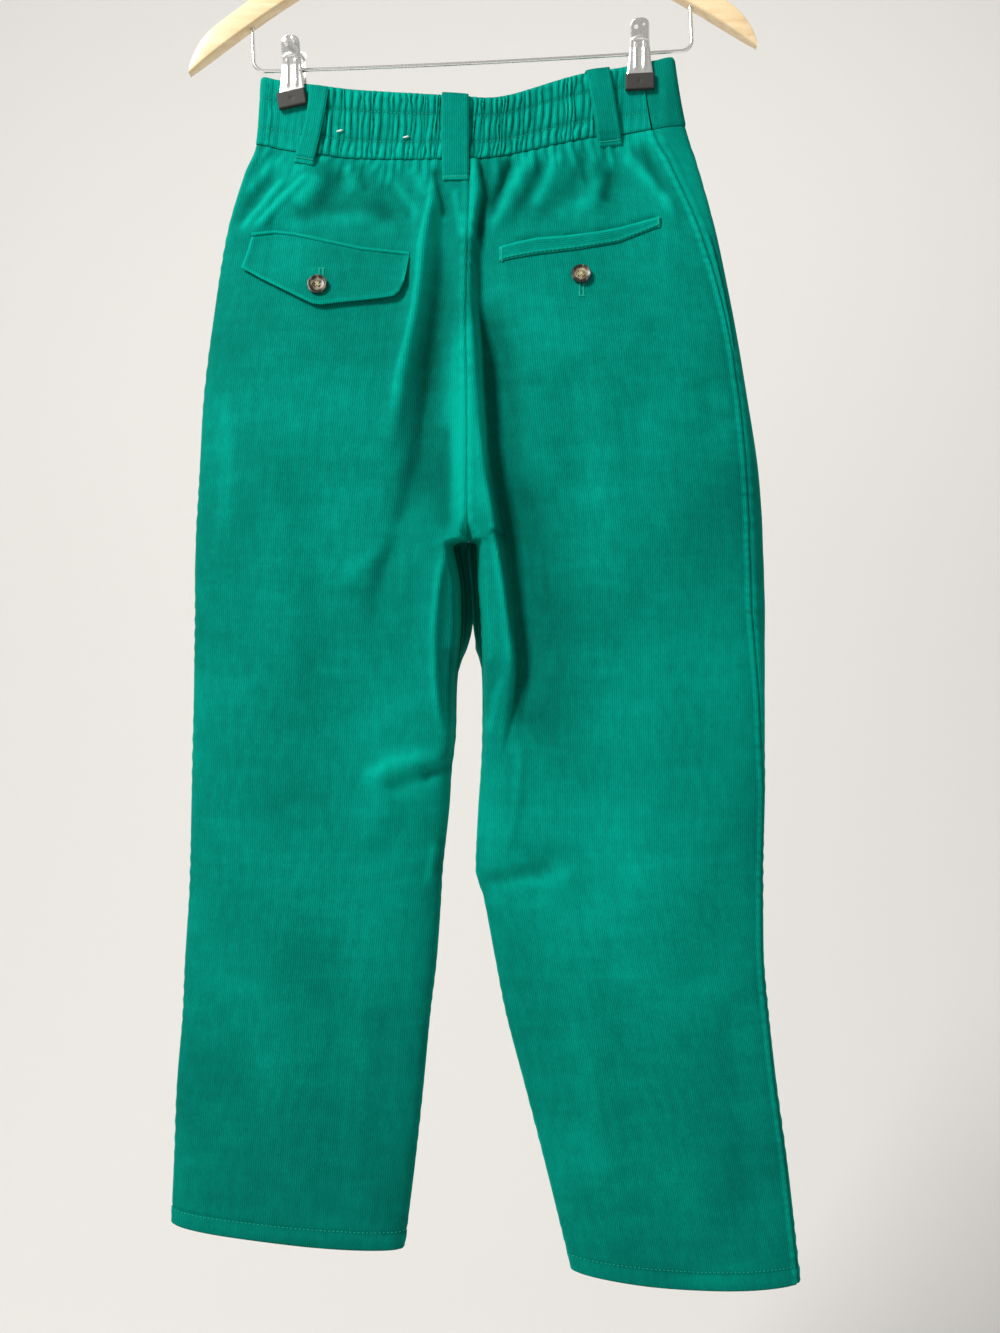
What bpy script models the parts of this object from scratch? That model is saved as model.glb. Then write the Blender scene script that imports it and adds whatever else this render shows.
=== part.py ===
"""Corduroy trousers hanging by the waist from a wooden clip hanger.

The model stands in the hanger's frame: the origin is the seat of the hook, +Z is up, the back of the
trousers faces -Y and +X is to the right of someone looking at that back. Sizes are in millimetres and
are turned to metres where a mesh is written. Heights on the cloth are drops below the waist line.
"""
import math
from collections import namedtuple
from functools import lru_cache

import bmesh
import bpy
import numpy as np
from mathutils import Matrix, Vector

MM = 0.001

# Driving dimensions, in millimetres
WAIST_LINE = 232.0          # hook seat down to the waist line, drop 0
SEAM_GAP = 0.3              # clear space between pieces that meet
LAY_GAP = 0.5               # clear space under a piece that lies on a panel
CLOTH = 2.0                 # corduroy wall
BAND_CLOTH = 2.8            # waistband wall: two layers and the elastic
HEM_CLOTH = 3.2             # turned-up hem
HEM_DEPTH = 15.0
ROUNDNESS = 2.6             # exponent of the leg's cross-section
CROTCH_DROP = 348.5
FORK_START = 295.0          # where the centre seam starts to curve under
FORK_WIDTH = 36.0           # half width of the saddle between the legs
WAIST_FOLD = 3.5            # radius of the folded side of the waist
CLIP_X = (-131.1, 141.0)    # where the two clips hold the waistband
CLIP_YAW = (5.0, 6.0)       # how far each clip turns about the vertical, in degrees
PAD_ROLL = (10.0, 0.0)      # how far each clip's pads sit askew, in degrees
CLIP_FLAT = 13.0            # the waist lies flat this far to each side of a clip
PINCH = 2.3                 # half depth of the waist at a clip
GAPE_BACK = 9.5
GAPE_FRONT = 7.0
HIP_BLEND = (38.0, 205.0)   # drops between which the pinched waist opens out to the hips
SIDE_BULGE = 1.3            # extra half depth of the folded sides beyond the clips
GATHER_PITCH = 6.5
GATHER_DEPTH = 1.5
SIDE_SMOOTH = 14.0          # plain stretch of band at each side seam
STITCH_ROWS = (0.36, 0.72)  # elastic channels, as shares of the band's height

PANEL_COLUMNS = {("left", True): 17, ("right", True): 18, ("left", False): 8, ("right", False): 9}

Section = namedtuple("Section", "out_x out_drop in_x in_drop sag dip seam rows")
# out: side silhouette; in: centre seam down to the crotch, then the inner edge of the leg.
# sag: how far the row hangs below a straight line; dip: the same near the centre only;
# seam: side seam to silhouette, round the back; rows: mesh rows down to the next section.
LEFT = (
    Section(-156, -15, 8, 5.5, 3, 0, 0, 1),
    Section(-160, 38, 7, 54, 6, 0, 0, 1),
    Section(-169, 62, 7, 78, 5, 0, 0, 2),
    Section(-182, 108, 6, 118, 3, 0, 0, 3),
    Section(-193, 180, 5, 184, 1, 0, 0, 3),
    Section(-200, 238, 6, 240, 0, 0, 0, 2),
    Section(-203, 290, 6, 288, 0, 0, 0, 2),
    Section(-205, 324, 6, 322, 0, 0, 0, 1),
    Section(-206, 340, 6, 338, 0, 0, 0, 1),
    Section(-206.3, 350, 7, CROTCH_DROP, 0, 0, 0, 1),
    Section(-206.6, 360, 0, 349.5, 0, 0, 0, 1),
    Section(-207, 372, -6.5, 354, 0, 0, 0, 1),
    Section(-207, 388, -4, 367, 0, 0, 0, 1),
    Section(-207, 405, -1, 386, 0, 0, 0, 1),
    Section(-207.5, 435, -0.5, 415, 0, 0, 0, 2),
    Section(-208, 474, -3.5, 455, 0, 0, 0, 2),
    Section(-209, 514, -4.5, 500, 0, 0, 0, 1),
    Section(-209.5, 540, -8, 530, 0, 0, 0, 1),
    Section(-210, 563, -10, 560, 0, 0, 0, 2),
    Section(-211, 606, -15, 606, 0, 0, 0, 1),
    Section(-212, 632, -16.5, 632, 0, 0, 0, 2),
    Section(-215, 678, -20, 680, 0, 0, 0, 2),
    Section(-217, 722, -25, 722, 0, 0, 0, 2),
    Section(-221.5, 776, -30.5, 780, 0, 0, 0, 2),
    Section(-223.5, 830, -37, 840, 0, 0, 0, 2),
    Section(-226, 884, -45, 904, 1.5, 0, 0, 0),
)
RIGHT = (
    Section(167, -29, 8, 5.5, -4, 7, 25, 1),
    Section(176, 24, 7, 54, -3.5, 4, 25, 1),
    Section(186, 56, 7, 78, -1.5, 1.5, 20, 2),
    Section(200, 108, 6, 118, 0, 0, 12.5, 3),
    Section(214, 178, 5, 184, 0, 0, 8.5, 3),
    Section(224, 238, 6, 240, 0, 0, 8.5, 2),
    Section(232, 290, 6, 288, 0, 0, 11.5, 2),
    Section(235, 322, 6, 322, 0, 0, 12.5, 1),
    Section(236, 338, 6, 338, 0, 0, 12.5, 1),
    Section(236.3, 349, 7, CROTCH_DROP, 0, 0, 12.5, 1),
    Section(236.5, 357, 11, 350, 0, 0, 12.5, 1),
    Section(237, 368, 13.5, 354, 0, 0, 12.5, 1),
    Section(237.4, 384, 14, 367, 0, 0, 12.5, 1),
    Section(238, 404, 15, 386, 0, 0, 12.5, 1),
    Section(238, 435, 17, 415, 0, 0, 9.5, 2),
    Section(238, 474, 18, 455, 0, 0, 6, 2),
    Section(238, 514, 18, 500, 0, 0, 4, 1),
    Section(238, 540, 17, 530, 0, 0, 2.5, 1),
    Section(237.5, 563, 15, 560, 0, 0, 2, 2),
    Section(236.5, 606, 13, 606, 0, 0, 2, 1),
    Section(236.5, 634, 19.5, 630, 0, 0, 2, 2),
    Section(237, 676, 28, 675, 0, 0, 2, 2),
    Section(241, 722, 37, 721, 0, 0, 2, 2),
    Section(247, 775, 52, 778, 0, 0, 2, 2),
    Section(256, 842, 68, 840, 0, 0, 2, 2),
    Section(266, 931, 88, 921, 5, 0, 2, 0),
)
HALVES = {"left": LEFT, "right": RIGHT}
BAND_SEAM = 1               # section index of the waistband's lower edge
CROTCH = 9                  # section index of the crotch point
HEM = len(LEFT) - 1

Depth = namedtuple("Depth", "drop back front")
# Half depths of the hanging cloth behind and in front of its side seams.
DEPTHS = (
    Depth(60, 20, 15),
    Depth(130, 25, 20),
    Depth(210, 29, 23),
    Depth(290, 30, 24),
    Depth(350, 27, 22),
    Depth(450, 24, 20),
    Depth(560, 21, 18),
    Depth(720, 18, 16),
    Depth(930, 15, 13),
)

Fold = namedtuple("Fold", "height left right path")
# height: how far the cloth stands out (or, below zero, sinks); left, right: its spread on each side of
# the path as it runs down, or below and above the path where it runs to the right; path: x, drop pairs.
BACK_FOLDS = (
    Fold(-10, 3.5, 12, ((18, 58), (20, 73), (18, 92), (14, 125), (13, 165), (17, 190), (20, 223), (22, 261),
                        (26, 294), (33, 330), (39, 367), (44, 410), (46, 445), (42, 476), (36, 515), (30, 540))),
    Fold(3, 7, 3, ((8, 95), (6, 137), (8, 180), (11, 223), (13, 261), (17, 294), (25, 336), (31, 380))),
    Fold(4, 6, 4, ((-21, 56), (-22, 80), (-27, 110), (-31, 145), (-36, 186), (-43, 225), (-48, 262), (-58, 300))),
    Fold(-5, 6, 9, ((-17, 60), (-14, 90), (-12, 125), (-14, 170), (-22, 225), (-28, 268), (-38, 320),
                    (-56, 372), (-70, 440))),
    Fold(3.5, 9, 4, ((-12, 352), (-17, 385), (-20, 420), (-20, 447), (-18, 474), (-14, 504))),
    Fold(4.5, 9, 5, ((-74, 540), (-52, 524), (-30, 519), (-4, 520))),
    Fold(-4, 6, 4, ((-60, 545), (-38, 536), (-20, 529), (-2, 527))),
    Fold(3, 10, 8, ((-50, 542), (-58, 562), (-78, 590))),
    Fold(4, 9, 5, ((40, 500), (45, 520), (41, 560), (34, 600))),
    Fold(4, 8, 5, ((10, 612), (30, 613), (72, 609), (100, 606))),
    Fold(-3, 7, 5, ((12, 626), (34, 624), (70, 622))),
    Fold(3.5, 5, 6, ((-132, 62), (-148, 82), (-160, 104), (-170, 122))),
    Fold(-3, 5, 5, ((-138, 56), (-152, 76), (-164, 94))),
    Fold(3, 6, 6, ((-112, 62), (-130, 84), (-146, 100), (-160, 116))),
    Fold(-2.5, 6, 7, ((-92, 58), (-98, 78), (-106, 100), (-112, 118))),
    Fold(2.5, 7, 7, ((-76, 58), (-72, 84), (-74, 112))),
    Fold(-2.5, 7, 7, ((-60, 58), (-54, 82), (-52, 108))),
    Fold(3.5, 6, 6, ((60, 50), (50, 71), (38, 92), (26, 112))),
    Fold(-3.5, 5, 5, ((44, 54), (34, 77), (24, 96))),
    Fold(3.5, 7, 7, ((108, 48), (104, 68), (98, 92))),
    Fold(-3, 5, 5, ((94, 44), (96, 62), (92, 86), (80, 104))),
    Fold(3, 6, 7, ((128, 44), (139, 58), (152, 78), (164, 100))),
    Fold(3, 16, 14, ((104, 225), (113, 290), (119, 350), (124, 420))),
    Fold(-3, 12, 10, ((82, 215), (90, 262), (100, 330))),
    Fold(-2.5, 9, 9, ((186, 225), (194, 250), (198, 275))),
    Fold(2.5, 14, 12, ((-150, 240), (-140, 320), (-132, 420), (-128, 500))),
    Fold(-2, 12, 14, ((-110, 300), (-104, 390), (-100, 480))),
    Fold(2, 14, 14, ((-150, 640), (-140, 720), (-136, 800), (-134, 880))),
    Fold(-2, 12, 12, ((-90, 620), (-92, 720), (-92, 820), (-90, 900))),
    Fold(2, 14, 14, ((150, 640), (168, 730), (184, 830), (196, 920))),
    Fold(-2, 12, 12, ((110, 640), (126, 740), (140, 830), (150, 925))),
)
FRONT_FOLDS = (
    Fold(-4, 10, 14, ((6, 80), (4, 140), (6, 200), (8, 262), (12, 310), (20, 360))),
    Fold(3, 8, 6, ((-14, 90), (-18, 150), (-26, 220), (-40, 290), (-60, 350))),
    Fold(3, 6, 9, ((34, 96), (40, 160), (52, 230), (72, 300), (96, 360))),
    Fold(-3, 9, 9, ((-36, 240), (-52, 300), (-74, 370), (-84, 440))),
    Fold(3, 8, 8, ((-96, 60), (-100, 120), (-104, 200))),
    Fold(3, 8, 8, ((102, 50), (110, 120), (118, 200))),
    Fold(4, 9, 6, ((-96, 548), (-64, 534), (-30, 530), (-8, 534))),
    Fold(3.5, 9, 6, ((22, 590), (52, 584), (90, 590))),
    Fold(3, 14, 14, ((-116, 300), (-116, 460), (-118, 640), (-130, 880))),
    Fold(3, 14, 14, ((128, 300), (132, 460), (140, 640), (176, 900))),
)


def smoothstep(low, high, value):
    """Ease from 0 at low to 1 at high."""
    t = np.clip((value - low) / (high - low), 0.0, 1.0)
    return t * t * (3.0 - 2.0 * t)


def column_at(table, name, position):
    """Read one column of a section table at fractional row positions, along a smooth curve."""
    values = np.array([getattr(row, name) for row in table], dtype=float)
    last = len(values) - 1
    position = np.clip(position, 0.0, last)
    index = np.minimum(position.astype(int), last - 1)
    t = position - index
    before = values[np.maximum(index - 1, 0)]
    start = values[index]
    end = values[index + 1]
    after = values[np.minimum(index + 2, last)]
    slope_in = 0.5 * (end - before)
    slope_out = 0.5 * (after - start)
    step = end - start
    limit_in = np.where(slope_in * step > 0, np.minimum(np.abs(slope_in), 3 * np.abs(step)), 0.0) * np.sign(step)
    limit_out = np.where(slope_out * step > 0, np.minimum(np.abs(slope_out), 3 * np.abs(step)), 0.0) * np.sign(step)
    return ((2 * t**3 - 3 * t**2 + 1) * start + (t**3 - 2 * t**2 + t) * limit_in
            + (-2 * t**3 + 3 * t**2) * end + (t**3 - t**2) * limit_out)


def fold_relief(folds, x, drop):
    """Sum the folds' heights over the points of a panel."""
    total = np.zeros_like(x)
    for fold in folds:
        path = np.array(fold.path, dtype=float)
        lengths = np.hypot(*(path[1:] - path[:-1]).T)
        travelled = np.concatenate(([0.0], np.cumsum(lengths)))
        nearest = np.full_like(x, 1e9)
        side = np.zeros_like(x)
        along = np.zeros_like(x)
        for start, end, length, run in zip(path[:-1], path[1:], lengths, travelled[:-1]):
            way = (end - start) / length
            share = np.clip((x - start[0]) * way[0] + (drop - start[1]) * way[1], 0.0, length)
            off_x = x - start[0] - way[0] * share
            off_drop = drop - start[1] - way[1] * share
            distance = np.hypot(off_x, off_drop)
            closer = distance < nearest
            nearest = np.where(closer, distance, nearest)
            side = np.where(closer, off_x * way[1] - off_drop * way[0], side)
            along = np.where(closer, run + share, along)
        spread = np.where(side > 0, fold.right, fold.left)
        reach = along / travelled[-1]
        taper = smoothstep(0.0, 0.18, reach) * (1.0 - smoothstep(0.80, 1.0, reach))
        total += fold.height * taper * np.exp(-0.5 * (nearest / spread) ** 2)
    return total


def waist_depth(x, gape):
    """Half depth of the pinched waist: least at the two clips, widest halfway between them."""
    start = CLIP_X[0] + CLIP_FLAT
    end = CLIP_X[1] - CLIP_FLAT
    share = np.clip((x - start) / (end - start), 0.0, 1.0)
    beyond = np.maximum(CLIP_X[0] - x, x - CLIP_X[1])
    bulge = SIDE_BULGE * smoothstep(CLIP_FLAT, CLIP_FLAT + 8.0, beyond)
    return PINCH + gape * np.sin(math.pi * share) ** 1.2 + bulge


def clip_lean(x):
    """How far the pinched waist leans back or forward beside each clip, which turns it."""
    lean = np.zeros_like(x)
    for clip_x, yaw in zip(CLIP_X, CLIP_YAW):
        away = x - clip_x
        fade = 1.0 - smoothstep(CLIP_FLAT, 3.0 * CLIP_FLAT, np.abs(away))
        lean -= math.tan(math.radians(yaw)) * away * fade
    return lean


def fork(in_drop):
    """Share of the depth left at the centre seam, which curves under to the crotch point."""
    t = np.clip((in_drop - FORK_START) / (CROTCH_DROP - FORK_START), 0.0, 1.0)
    return np.sqrt(1.0 - t * t)


def row_drop(table, position, share):
    """Drop along a row; share runs from the side to the inner edge."""
    out_drop = column_at(table, "out_drop", position)
    in_drop = column_at(table, "in_drop", position)
    sag = column_at(table, "sag", position) * np.sin(math.pi * share)
    dip = column_at(table, "dip", position) * np.sin(math.pi * share**3)
    return out_drop + (in_drop - out_drop) * share + sag + dip


def surface(half, turn, position):
    """Middle of the cloth wall as x, y, z.

    half: left or right leg; turn: angle round it, 0 at the side silhouette, -pi and pi at the inner
    edge, negative on the back; position: fractional section index, from waist to hem.
    """
    table = HALVES[half]
    turn, position = np.broadcast_arrays(np.asarray(turn, float), np.asarray(position, float))
    out_x = column_at(table, "out_x", position)
    in_x = column_at(table, "in_x", position)
    in_drop = column_at(table, "in_drop", position)
    power = 2.0 / ROUNDNESS
    cosine = np.cos(turn)
    share = 0.5 - 0.5 * np.sign(cosine) * np.abs(cosine) ** power
    x = out_x + (in_x - out_x) * share
    drop = row_drop(table, position, share)

    rise = np.abs(np.sin(turn)) ** power
    from_inside = np.abs(in_x - x)
    saddle = np.sin(0.5 * math.pi * np.clip(from_inside / FORK_WIDTH, 0.0, 1.0))
    closed = smoothstep(CROTCH_DROP, CROTCH_DROP + 55.0, in_drop) * (position >= CROTCH)
    ramp = (1.0 - closed) * saddle + closed * rise
    left_over = np.where(position >= CROTCH, 0.0, fork(in_drop))
    inner = np.sqrt(left_over**2 + (1.0 - left_over**2) * ramp**2)
    profile = np.where(share > 0.5, inner, rise)

    from_side = np.clip(np.abs(x - out_x) / WAIST_FOLD, 0.0, 1.0)
    waist_profile = np.sqrt(1.0 - (1.0 - from_side) ** 2)
    opened = smoothstep(HIP_BLEND[0], HIP_BLEND[1], drop)

    drops = [row.drop for row in DEPTHS]
    behind = turn < 0
    hip = np.where(behind, np.interp(drop, drops, [row.back for row in DEPTHS]),
                   np.interp(drop, drops, [row.front for row in DEPTHS]))
    waist = waist_depth(x, np.where(behind, GAPE_BACK, GAPE_FRONT))
    depth = (1.0 - opened) * waist * waist_profile + opened * hip * profile
    relief = np.where(behind, fold_relief(BACK_FOLDS, x, drop), fold_relief(FRONT_FOLDS, x, drop))
    shown = smoothstep(0.0, 1.0, depth / 14.0) * (drop > 45)
    depth = depth + relief * shown
    y = np.where(behind, -depth, depth) + (1.0 - opened) * clip_lean(x)
    return np.stack([x, y, -(WAIST_LINE + drop)], axis=-1)


def normal_at(half, turn, position):
    """Outward normal of the middle surface, from neighbouring points on it."""
    turn = np.asarray(turn, float)
    position = np.asarray(position, float)
    step = 0.03
    upper = position < CROTCH
    low = np.where(upper, np.maximum(turn - step, -math.pi), turn - step)
    high = np.where(upper, np.minimum(turn + step, math.pi), turn + step)
    low = np.where(low < -math.pi, 2 * math.pi + low, low)
    high = np.where(high > math.pi, high - 2 * math.pi, high)
    around = surface(half, high, position) - surface(half, low, position)
    down_low = np.maximum(position - 0.08, 0.0)
    down_high = np.minimum(position + 0.08, HEM)
    down = surface(half, turn, down_high) - surface(half, turn, down_low)
    normal = np.cross(around, down)
    if half == "right":
        normal = -normal
    return normal / np.linalg.norm(normal, axis=-1, keepdims=True)


def seam_turn(half, position):
    """Turn of the side seam, at the silhouette or round on the back."""
    table = HALVES[half]
    width = np.abs(column_at(table, "in_x", position) - column_at(table, "out_x", position))
    share = column_at(table, "seam", position) / width
    return -np.arccos((1.0 - 2.0 * share) ** (ROUNDNESS / 2.0))


def panel_rows(first, last):
    """Section positions of a panel's mesh rows."""
    rows = []
    for index in range(first, last):
        count = LEFT[index].rows
        rows += [index + k / count for k in range(count)]
    return rows + [float(last)]


@lru_cache(maxsize=None)
def panel_grid(half, behind):
    """Mesh rows of one leg panel: their positions, turns, middle points and outward normals."""
    rows = panel_rows(BAND_SEAM, HEM)
    rows[0] += 0.012
    columns = PANEL_COLUMNS[half, behind]
    seam = seam_turn(half, np.array(rows))[:, None]
    share = np.linspace(0.0, 1.0, columns + 1)[None, :]
    start, end = (-math.pi, seam) if behind else (seam, math.pi)
    turn = start + (end - start) * share
    position = np.broadcast_to(np.array(rows)[:, None], turn.shape)
    middle = surface(half, turn, position)
    normal = normal_at(half, turn, position)
    normal[0, :, 2] = 0.0
    normal[0] /= np.linalg.norm(normal[0], axis=-1, keepdims=True)
    seam_column = -1 if behind else 0
    inward = -0.02 if behind else 0.02
    along = surface(half, turn[:, seam_column] + inward, position[:, seam_column]) - middle[:, seam_column]
    along /= np.linalg.norm(along, axis=-1, keepdims=True)
    middle[:, seam_column] += along * 0.5 * SEAM_GAP
    return rows, turn, middle, normal


def locate(half, x, drop, behind):
    """Turn and position of the point of one half that lies at x and drop."""
    table = HALVES[half]
    low = np.zeros_like(x)
    high = np.full_like(x, float(HEM))
    for _ in range(40):
        middle = 0.5 * (low + high)
        out_x = column_at(table, "out_x", middle)
        in_x = column_at(table, "in_x", middle)
        share = np.clip((x - out_x) / (in_x - out_x), 0.0, 1.0)
        there = row_drop(table, middle, share)
        low = np.where(there < drop, middle, low)
        high = np.where(there < drop, high, middle)
    cosine = 1.0 - 2.0 * share
    angle = np.arccos(np.sign(cosine) * np.abs(cosine) ** (ROUNDNESS / 2.0))
    return (-angle if behind else angle), middle


def between(grid, row, column):
    """Read a grid of points between its rows and columns."""
    low_row = np.clip(row.astype(int), 0, grid.shape[0] - 2)
    low_column = np.clip(column.astype(int), 0, grid.shape[1] - 2)
    down = (row - low_row)[:, None]
    across = (column - low_column)[:, None]
    above = grid[low_row, low_column] * (1 - across) + grid[low_row, low_column + 1] * across
    below = grid[low_row + 1, low_column] * (1 - across) + grid[low_row + 1, low_column + 1] * across
    return above * (1 - down) + below * down


def on_cloth(x, drop, offset, behind=True):
    """Points at x and drop, moved out by offset from the middle of the cloth, as the panel's mesh has it."""
    x, drop, offset = np.broadcast_arrays(np.asarray(x, float), np.asarray(drop, float), np.asarray(offset, float))
    centre = np.interp(drop, [row.in_drop for row in LEFT[:CROTCH]], [row.in_x for row in LEFT[:CROTCH]])
    points = np.zeros(x.shape + (3,))
    for half, chosen in (("left", x <= centre), ("right", x > centre)):
        if not chosen.any():
            continue
        turn, position = locate(half, x[chosen], drop[chosen], behind)
        rows, turns, middle, normal = panel_grid(half, behind)
        row = np.interp(position, rows, np.arange(len(rows)))
        seam = seam_turn(half, position)
        start, end = (-math.pi, seam) if behind else (seam, math.pi)
        column = np.clip((turn - start) / (end - start), 0.0, 1.0) * (turns.shape[1] - 1)
        on_band = (position < BAND_SEAM)[:, None]
        spot = np.where(on_band, surface(half, turn, position), between(middle, row, column))
        facing = np.where(on_band, normal_at(half, turn, position), between(normal, row, column))
        points[chosen] = spot + facing * offset[chosen][:, None]
    return points


# Mesh helpers

def material_for(name, colour, roughness, metallic=0.0):
    """One Principled material."""
    material = bpy.data.materials.new(name)
    material.use_nodes = True
    shader = material.node_tree.nodes["Principled BSDF"]
    shader.inputs["Base Color"].default_value = (*colour, 1.0)
    shader.inputs["Roughness"].default_value = roughness
    shader.inputs["Metallic"].default_value = metallic
    return material


def new_object(name, bm, material, smooth_angle=40.0):
    """Turn a bmesh that is in metres into a shaded object."""
    bmesh.ops.recalc_face_normals(bm, faces=bm.faces)
    mesh = bpy.data.meshes.new(name)
    bm.to_mesh(mesh)
    bm.free()
    mesh.shade_smooth()
    mesh.set_sharp_from_angle(angle=math.radians(smooth_angle))
    mesh.materials.append(material)
    obj = bpy.data.objects.new(name, mesh)
    bpy.context.collection.objects.link(obj)
    return obj


def wall(name, inner, outer, material, smooth_angle=40.0):
    """Closed wall between two equal grids of points, given as rows x columns x 3 in millimetres."""
    rows, columns = inner.shape[:2]
    bm = bmesh.new()
    made = bmesh.ops.create_grid(bm, x_segments=columns - 1, y_segments=rows - 1, size=0.5)
    place = {}
    for vert in made["verts"]:
        column = round((vert.co.x + 0.5) * (columns - 1))
        row = round((vert.co.y + 0.5) * (rows - 1))
        place[vert] = (row, column)
    under = {place[vert]: vert for vert in made["verts"]}
    raised = bmesh.ops.extrude_face_region(bm, geom=bm.faces[:], use_keep_orig=True)
    for vert in [item for item in raised["geom"] if isinstance(item, bmesh.types.BMVert)]:
        column = round((vert.co.x + 0.5) * (columns - 1))
        row = round((vert.co.y + 0.5) * (rows - 1))
        vert.co = Vector(outer[row, column]) * MM
    for (row, column), vert in under.items():
        vert.co = Vector(inner[row, column]) * MM
    return new_object(name, bm, material, smooth_angle)


def keep_apart(points, half, behind, rows):
    """Hold a panel's inner column clear of the panels it is sewn to."""
    gap = 0.5 * SEAM_GAP
    column = 0 if behind else -1
    for row, position in enumerate(rows):
        centre = column_at(LEFT, "in_x", np.array([position]))[0]
        if position <= CROTCH:
            if half == "left":
                points[row, :, 0] = np.minimum(points[row, :, 0], centre - gap)
            else:
                points[row, :, 0] = np.maximum(points[row, :, 0], centre + gap)
        if position >= CROTCH:
            y = points[row, column, 1]
            points[row, column, 1] = min(y, -gap) if behind else max(y, gap)


def leg_panel(name, half, behind, material):
    """One leg panel from the waistband seam to the hem, as a wall of cloth."""
    rows, _, middle, normal = panel_grid(half, behind)
    drop = -(middle[..., 2] + WAIST_LINE)
    hem_drop = drop[-1:, :]
    doubled = smoothstep(hem_drop - HEM_DEPTH - 8.0, hem_drop - HEM_DEPTH, drop)
    inside = 0.5 * CLOTH + (HEM_CLOTH - CLOTH) * doubled
    inner = middle - normal * inside[..., None]
    outer = middle + normal * (0.5 * CLOTH)
    for points in (inner, outer):
        keep_apart(points, half, behind, rows)
    return wall(name, inner, outer, material)


def back_waistband(name, material):
    """The elasticated band: gathers raised on its outer side, held down along the stitch rows."""
    levels = [0.0]
    for low, high in zip((0.0,) + STITCH_ROWS, STITCH_ROWS + (1.0,)):
        levels += [0.5 * (low + high), high]
    levels = np.array(levels)
    position = np.clip(levels, 0.0, 0.995)
    grids = []
    for half in ("left", "right"):
        table = HALVES[half]
        width = abs(table[0].in_x - table[0].out_x)
        seam = table[0].seam
        first = seam + SIDE_SMOOTH
        count = round((width - first) / (0.5 * GATHER_PITCH))
        offsets = [seam, seam + 1.2, seam + 4.0] if seam == 0 else [seam, seam + 6.0]
        offsets += list(np.linspace(first, width, count + 1))
        share = np.array(offsets) / width
        share[0] = max(share[0], 0.0)
        cosine = 1.0 - 2.0 * np.clip(share, 0.0, 1.0)
        turn = -np.arccos(np.sign(cosine) * np.abs(cosine) ** (ROUNDNESS / 2.0))
        turn = np.broadcast_to(turn[None, :], (len(levels), len(turn)))
        spots = np.broadcast_to(position[:, None], turn.shape)
        middle = surface(half, turn, spots)
        normal = normal_at(half, turn, spots)
        normal[..., 2] = 0.0
        normal /= np.linalg.norm(normal, axis=-1, keepdims=True)
        x = middle[..., 0]
        from_clip = np.minimum(np.abs(x - CLIP_X[0]), np.abs(x - CLIP_X[1]))
        free = smoothstep(CLIP_FLAT, CLIP_FLAT + 9.0, from_clip)
        number = np.arange(len(offsets)) - (len(offsets) - count - 1)
        crest = np.where((number >= 0) & (number % 2 == 1), 1.0, 0.0)[None, :]
        held = np.isin(np.round(levels, 3), np.round(np.array((0.0,) + STITCH_ROWS + (1.0,)), 3))
        puff = np.where(held, 0.35, 1.0)[:, None]
        raised = GATHER_DEPTH * crest * puff * free
        if seam == 0:
            middle[:, 0, 1] -= 0.5 * SEAM_GAP
        else:
            middle[:, 0, 0] -= 0.5 * SEAM_GAP
        inner = middle - normal * (0.5 * BAND_CLOTH)
        outer = middle + normal * (0.5 * BAND_CLOTH + raised)[..., None]
        grids.append((inner, outer))
    (left_inner, left_outer), (right_inner, right_outer) = grids
    inner = np.concatenate([left_inner, right_inner[:, -2::-1]], axis=1)
    outer = np.concatenate([left_outer, right_outer[:, -2::-1]], axis=1)
    return wall(name, inner, outer, material, 15.0)


def front_waistband(name, half, material):
    """Smooth front band of one side, from the side seam to the centre front."""
    levels = np.array([0.0, 0.33, 0.66, 0.995])
    seam = seam_turn(half, levels)[:, None]
    columns = 16 if half == "right" else 12
    share = np.linspace(0.0, 1.0, columns + 1)[None, :]
    turn = seam + (math.pi - seam) * share
    position = np.broadcast_to(levels[:, None], turn.shape)
    middle = surface(half, turn, position)
    normal = normal_at(half, turn, position)
    normal[..., 2] = 0.0
    normal /= np.linalg.norm(normal, axis=-1, keepdims=True)
    along = surface(half, turn[:, 0] + 0.02, position[:, 0]) - middle[:, 0]
    along /= np.linalg.norm(along, axis=-1, keepdims=True)
    middle[:, 0] += along * 0.5 * SEAM_GAP
    inner = middle - normal * (0.5 * BAND_CLOTH)
    outer = middle + normal * (0.5 * BAND_CLOTH)
    for points in (inner, outer):
        keep_apart(points, half, False, levels)
    return wall(name, inner, outer, material)


# Trims

Station = namedtuple("Station", "x drop width")
Loop = namedtuple("Loop", "name top middle end seam behind")
# seam: share of the loop's length at which it passes the waistband's lower edge.
LOOPS = (
    Loop("belt_loop_back_left", Station(-110, -5, 15), Station(-112.6, 17, 13.5), Station(-122.6, 54.5, 16.5),
         0.89, True),
    Loop("belt_loop_back_centre", Station(-3.5, 0.5, 20.5), Station(-3.5, 30, 20.5), Station(-3.5, 71, 20.5),
         0.77, True),
    Loop("belt_loop_back_right", Station(106, -21.5, 19), Station(110.7, 5, 19), Station(117, 40, 20), 0.79, True),
    Loop("belt_loop_front_left", Station(-84, -3, 20), Station(-86, 28, 20), Station(-88, 64, 20), 0.83, False),
    Loop("belt_loop_front_right", Station(95, -16, 20), Station(98, 14, 20), Station(101, 50, 20), 0.83, False),
)
LOOP_CLOTH = 2.0
LOOP_STAND = 1.4            # how far a loop's middle bows out from the band

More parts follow.
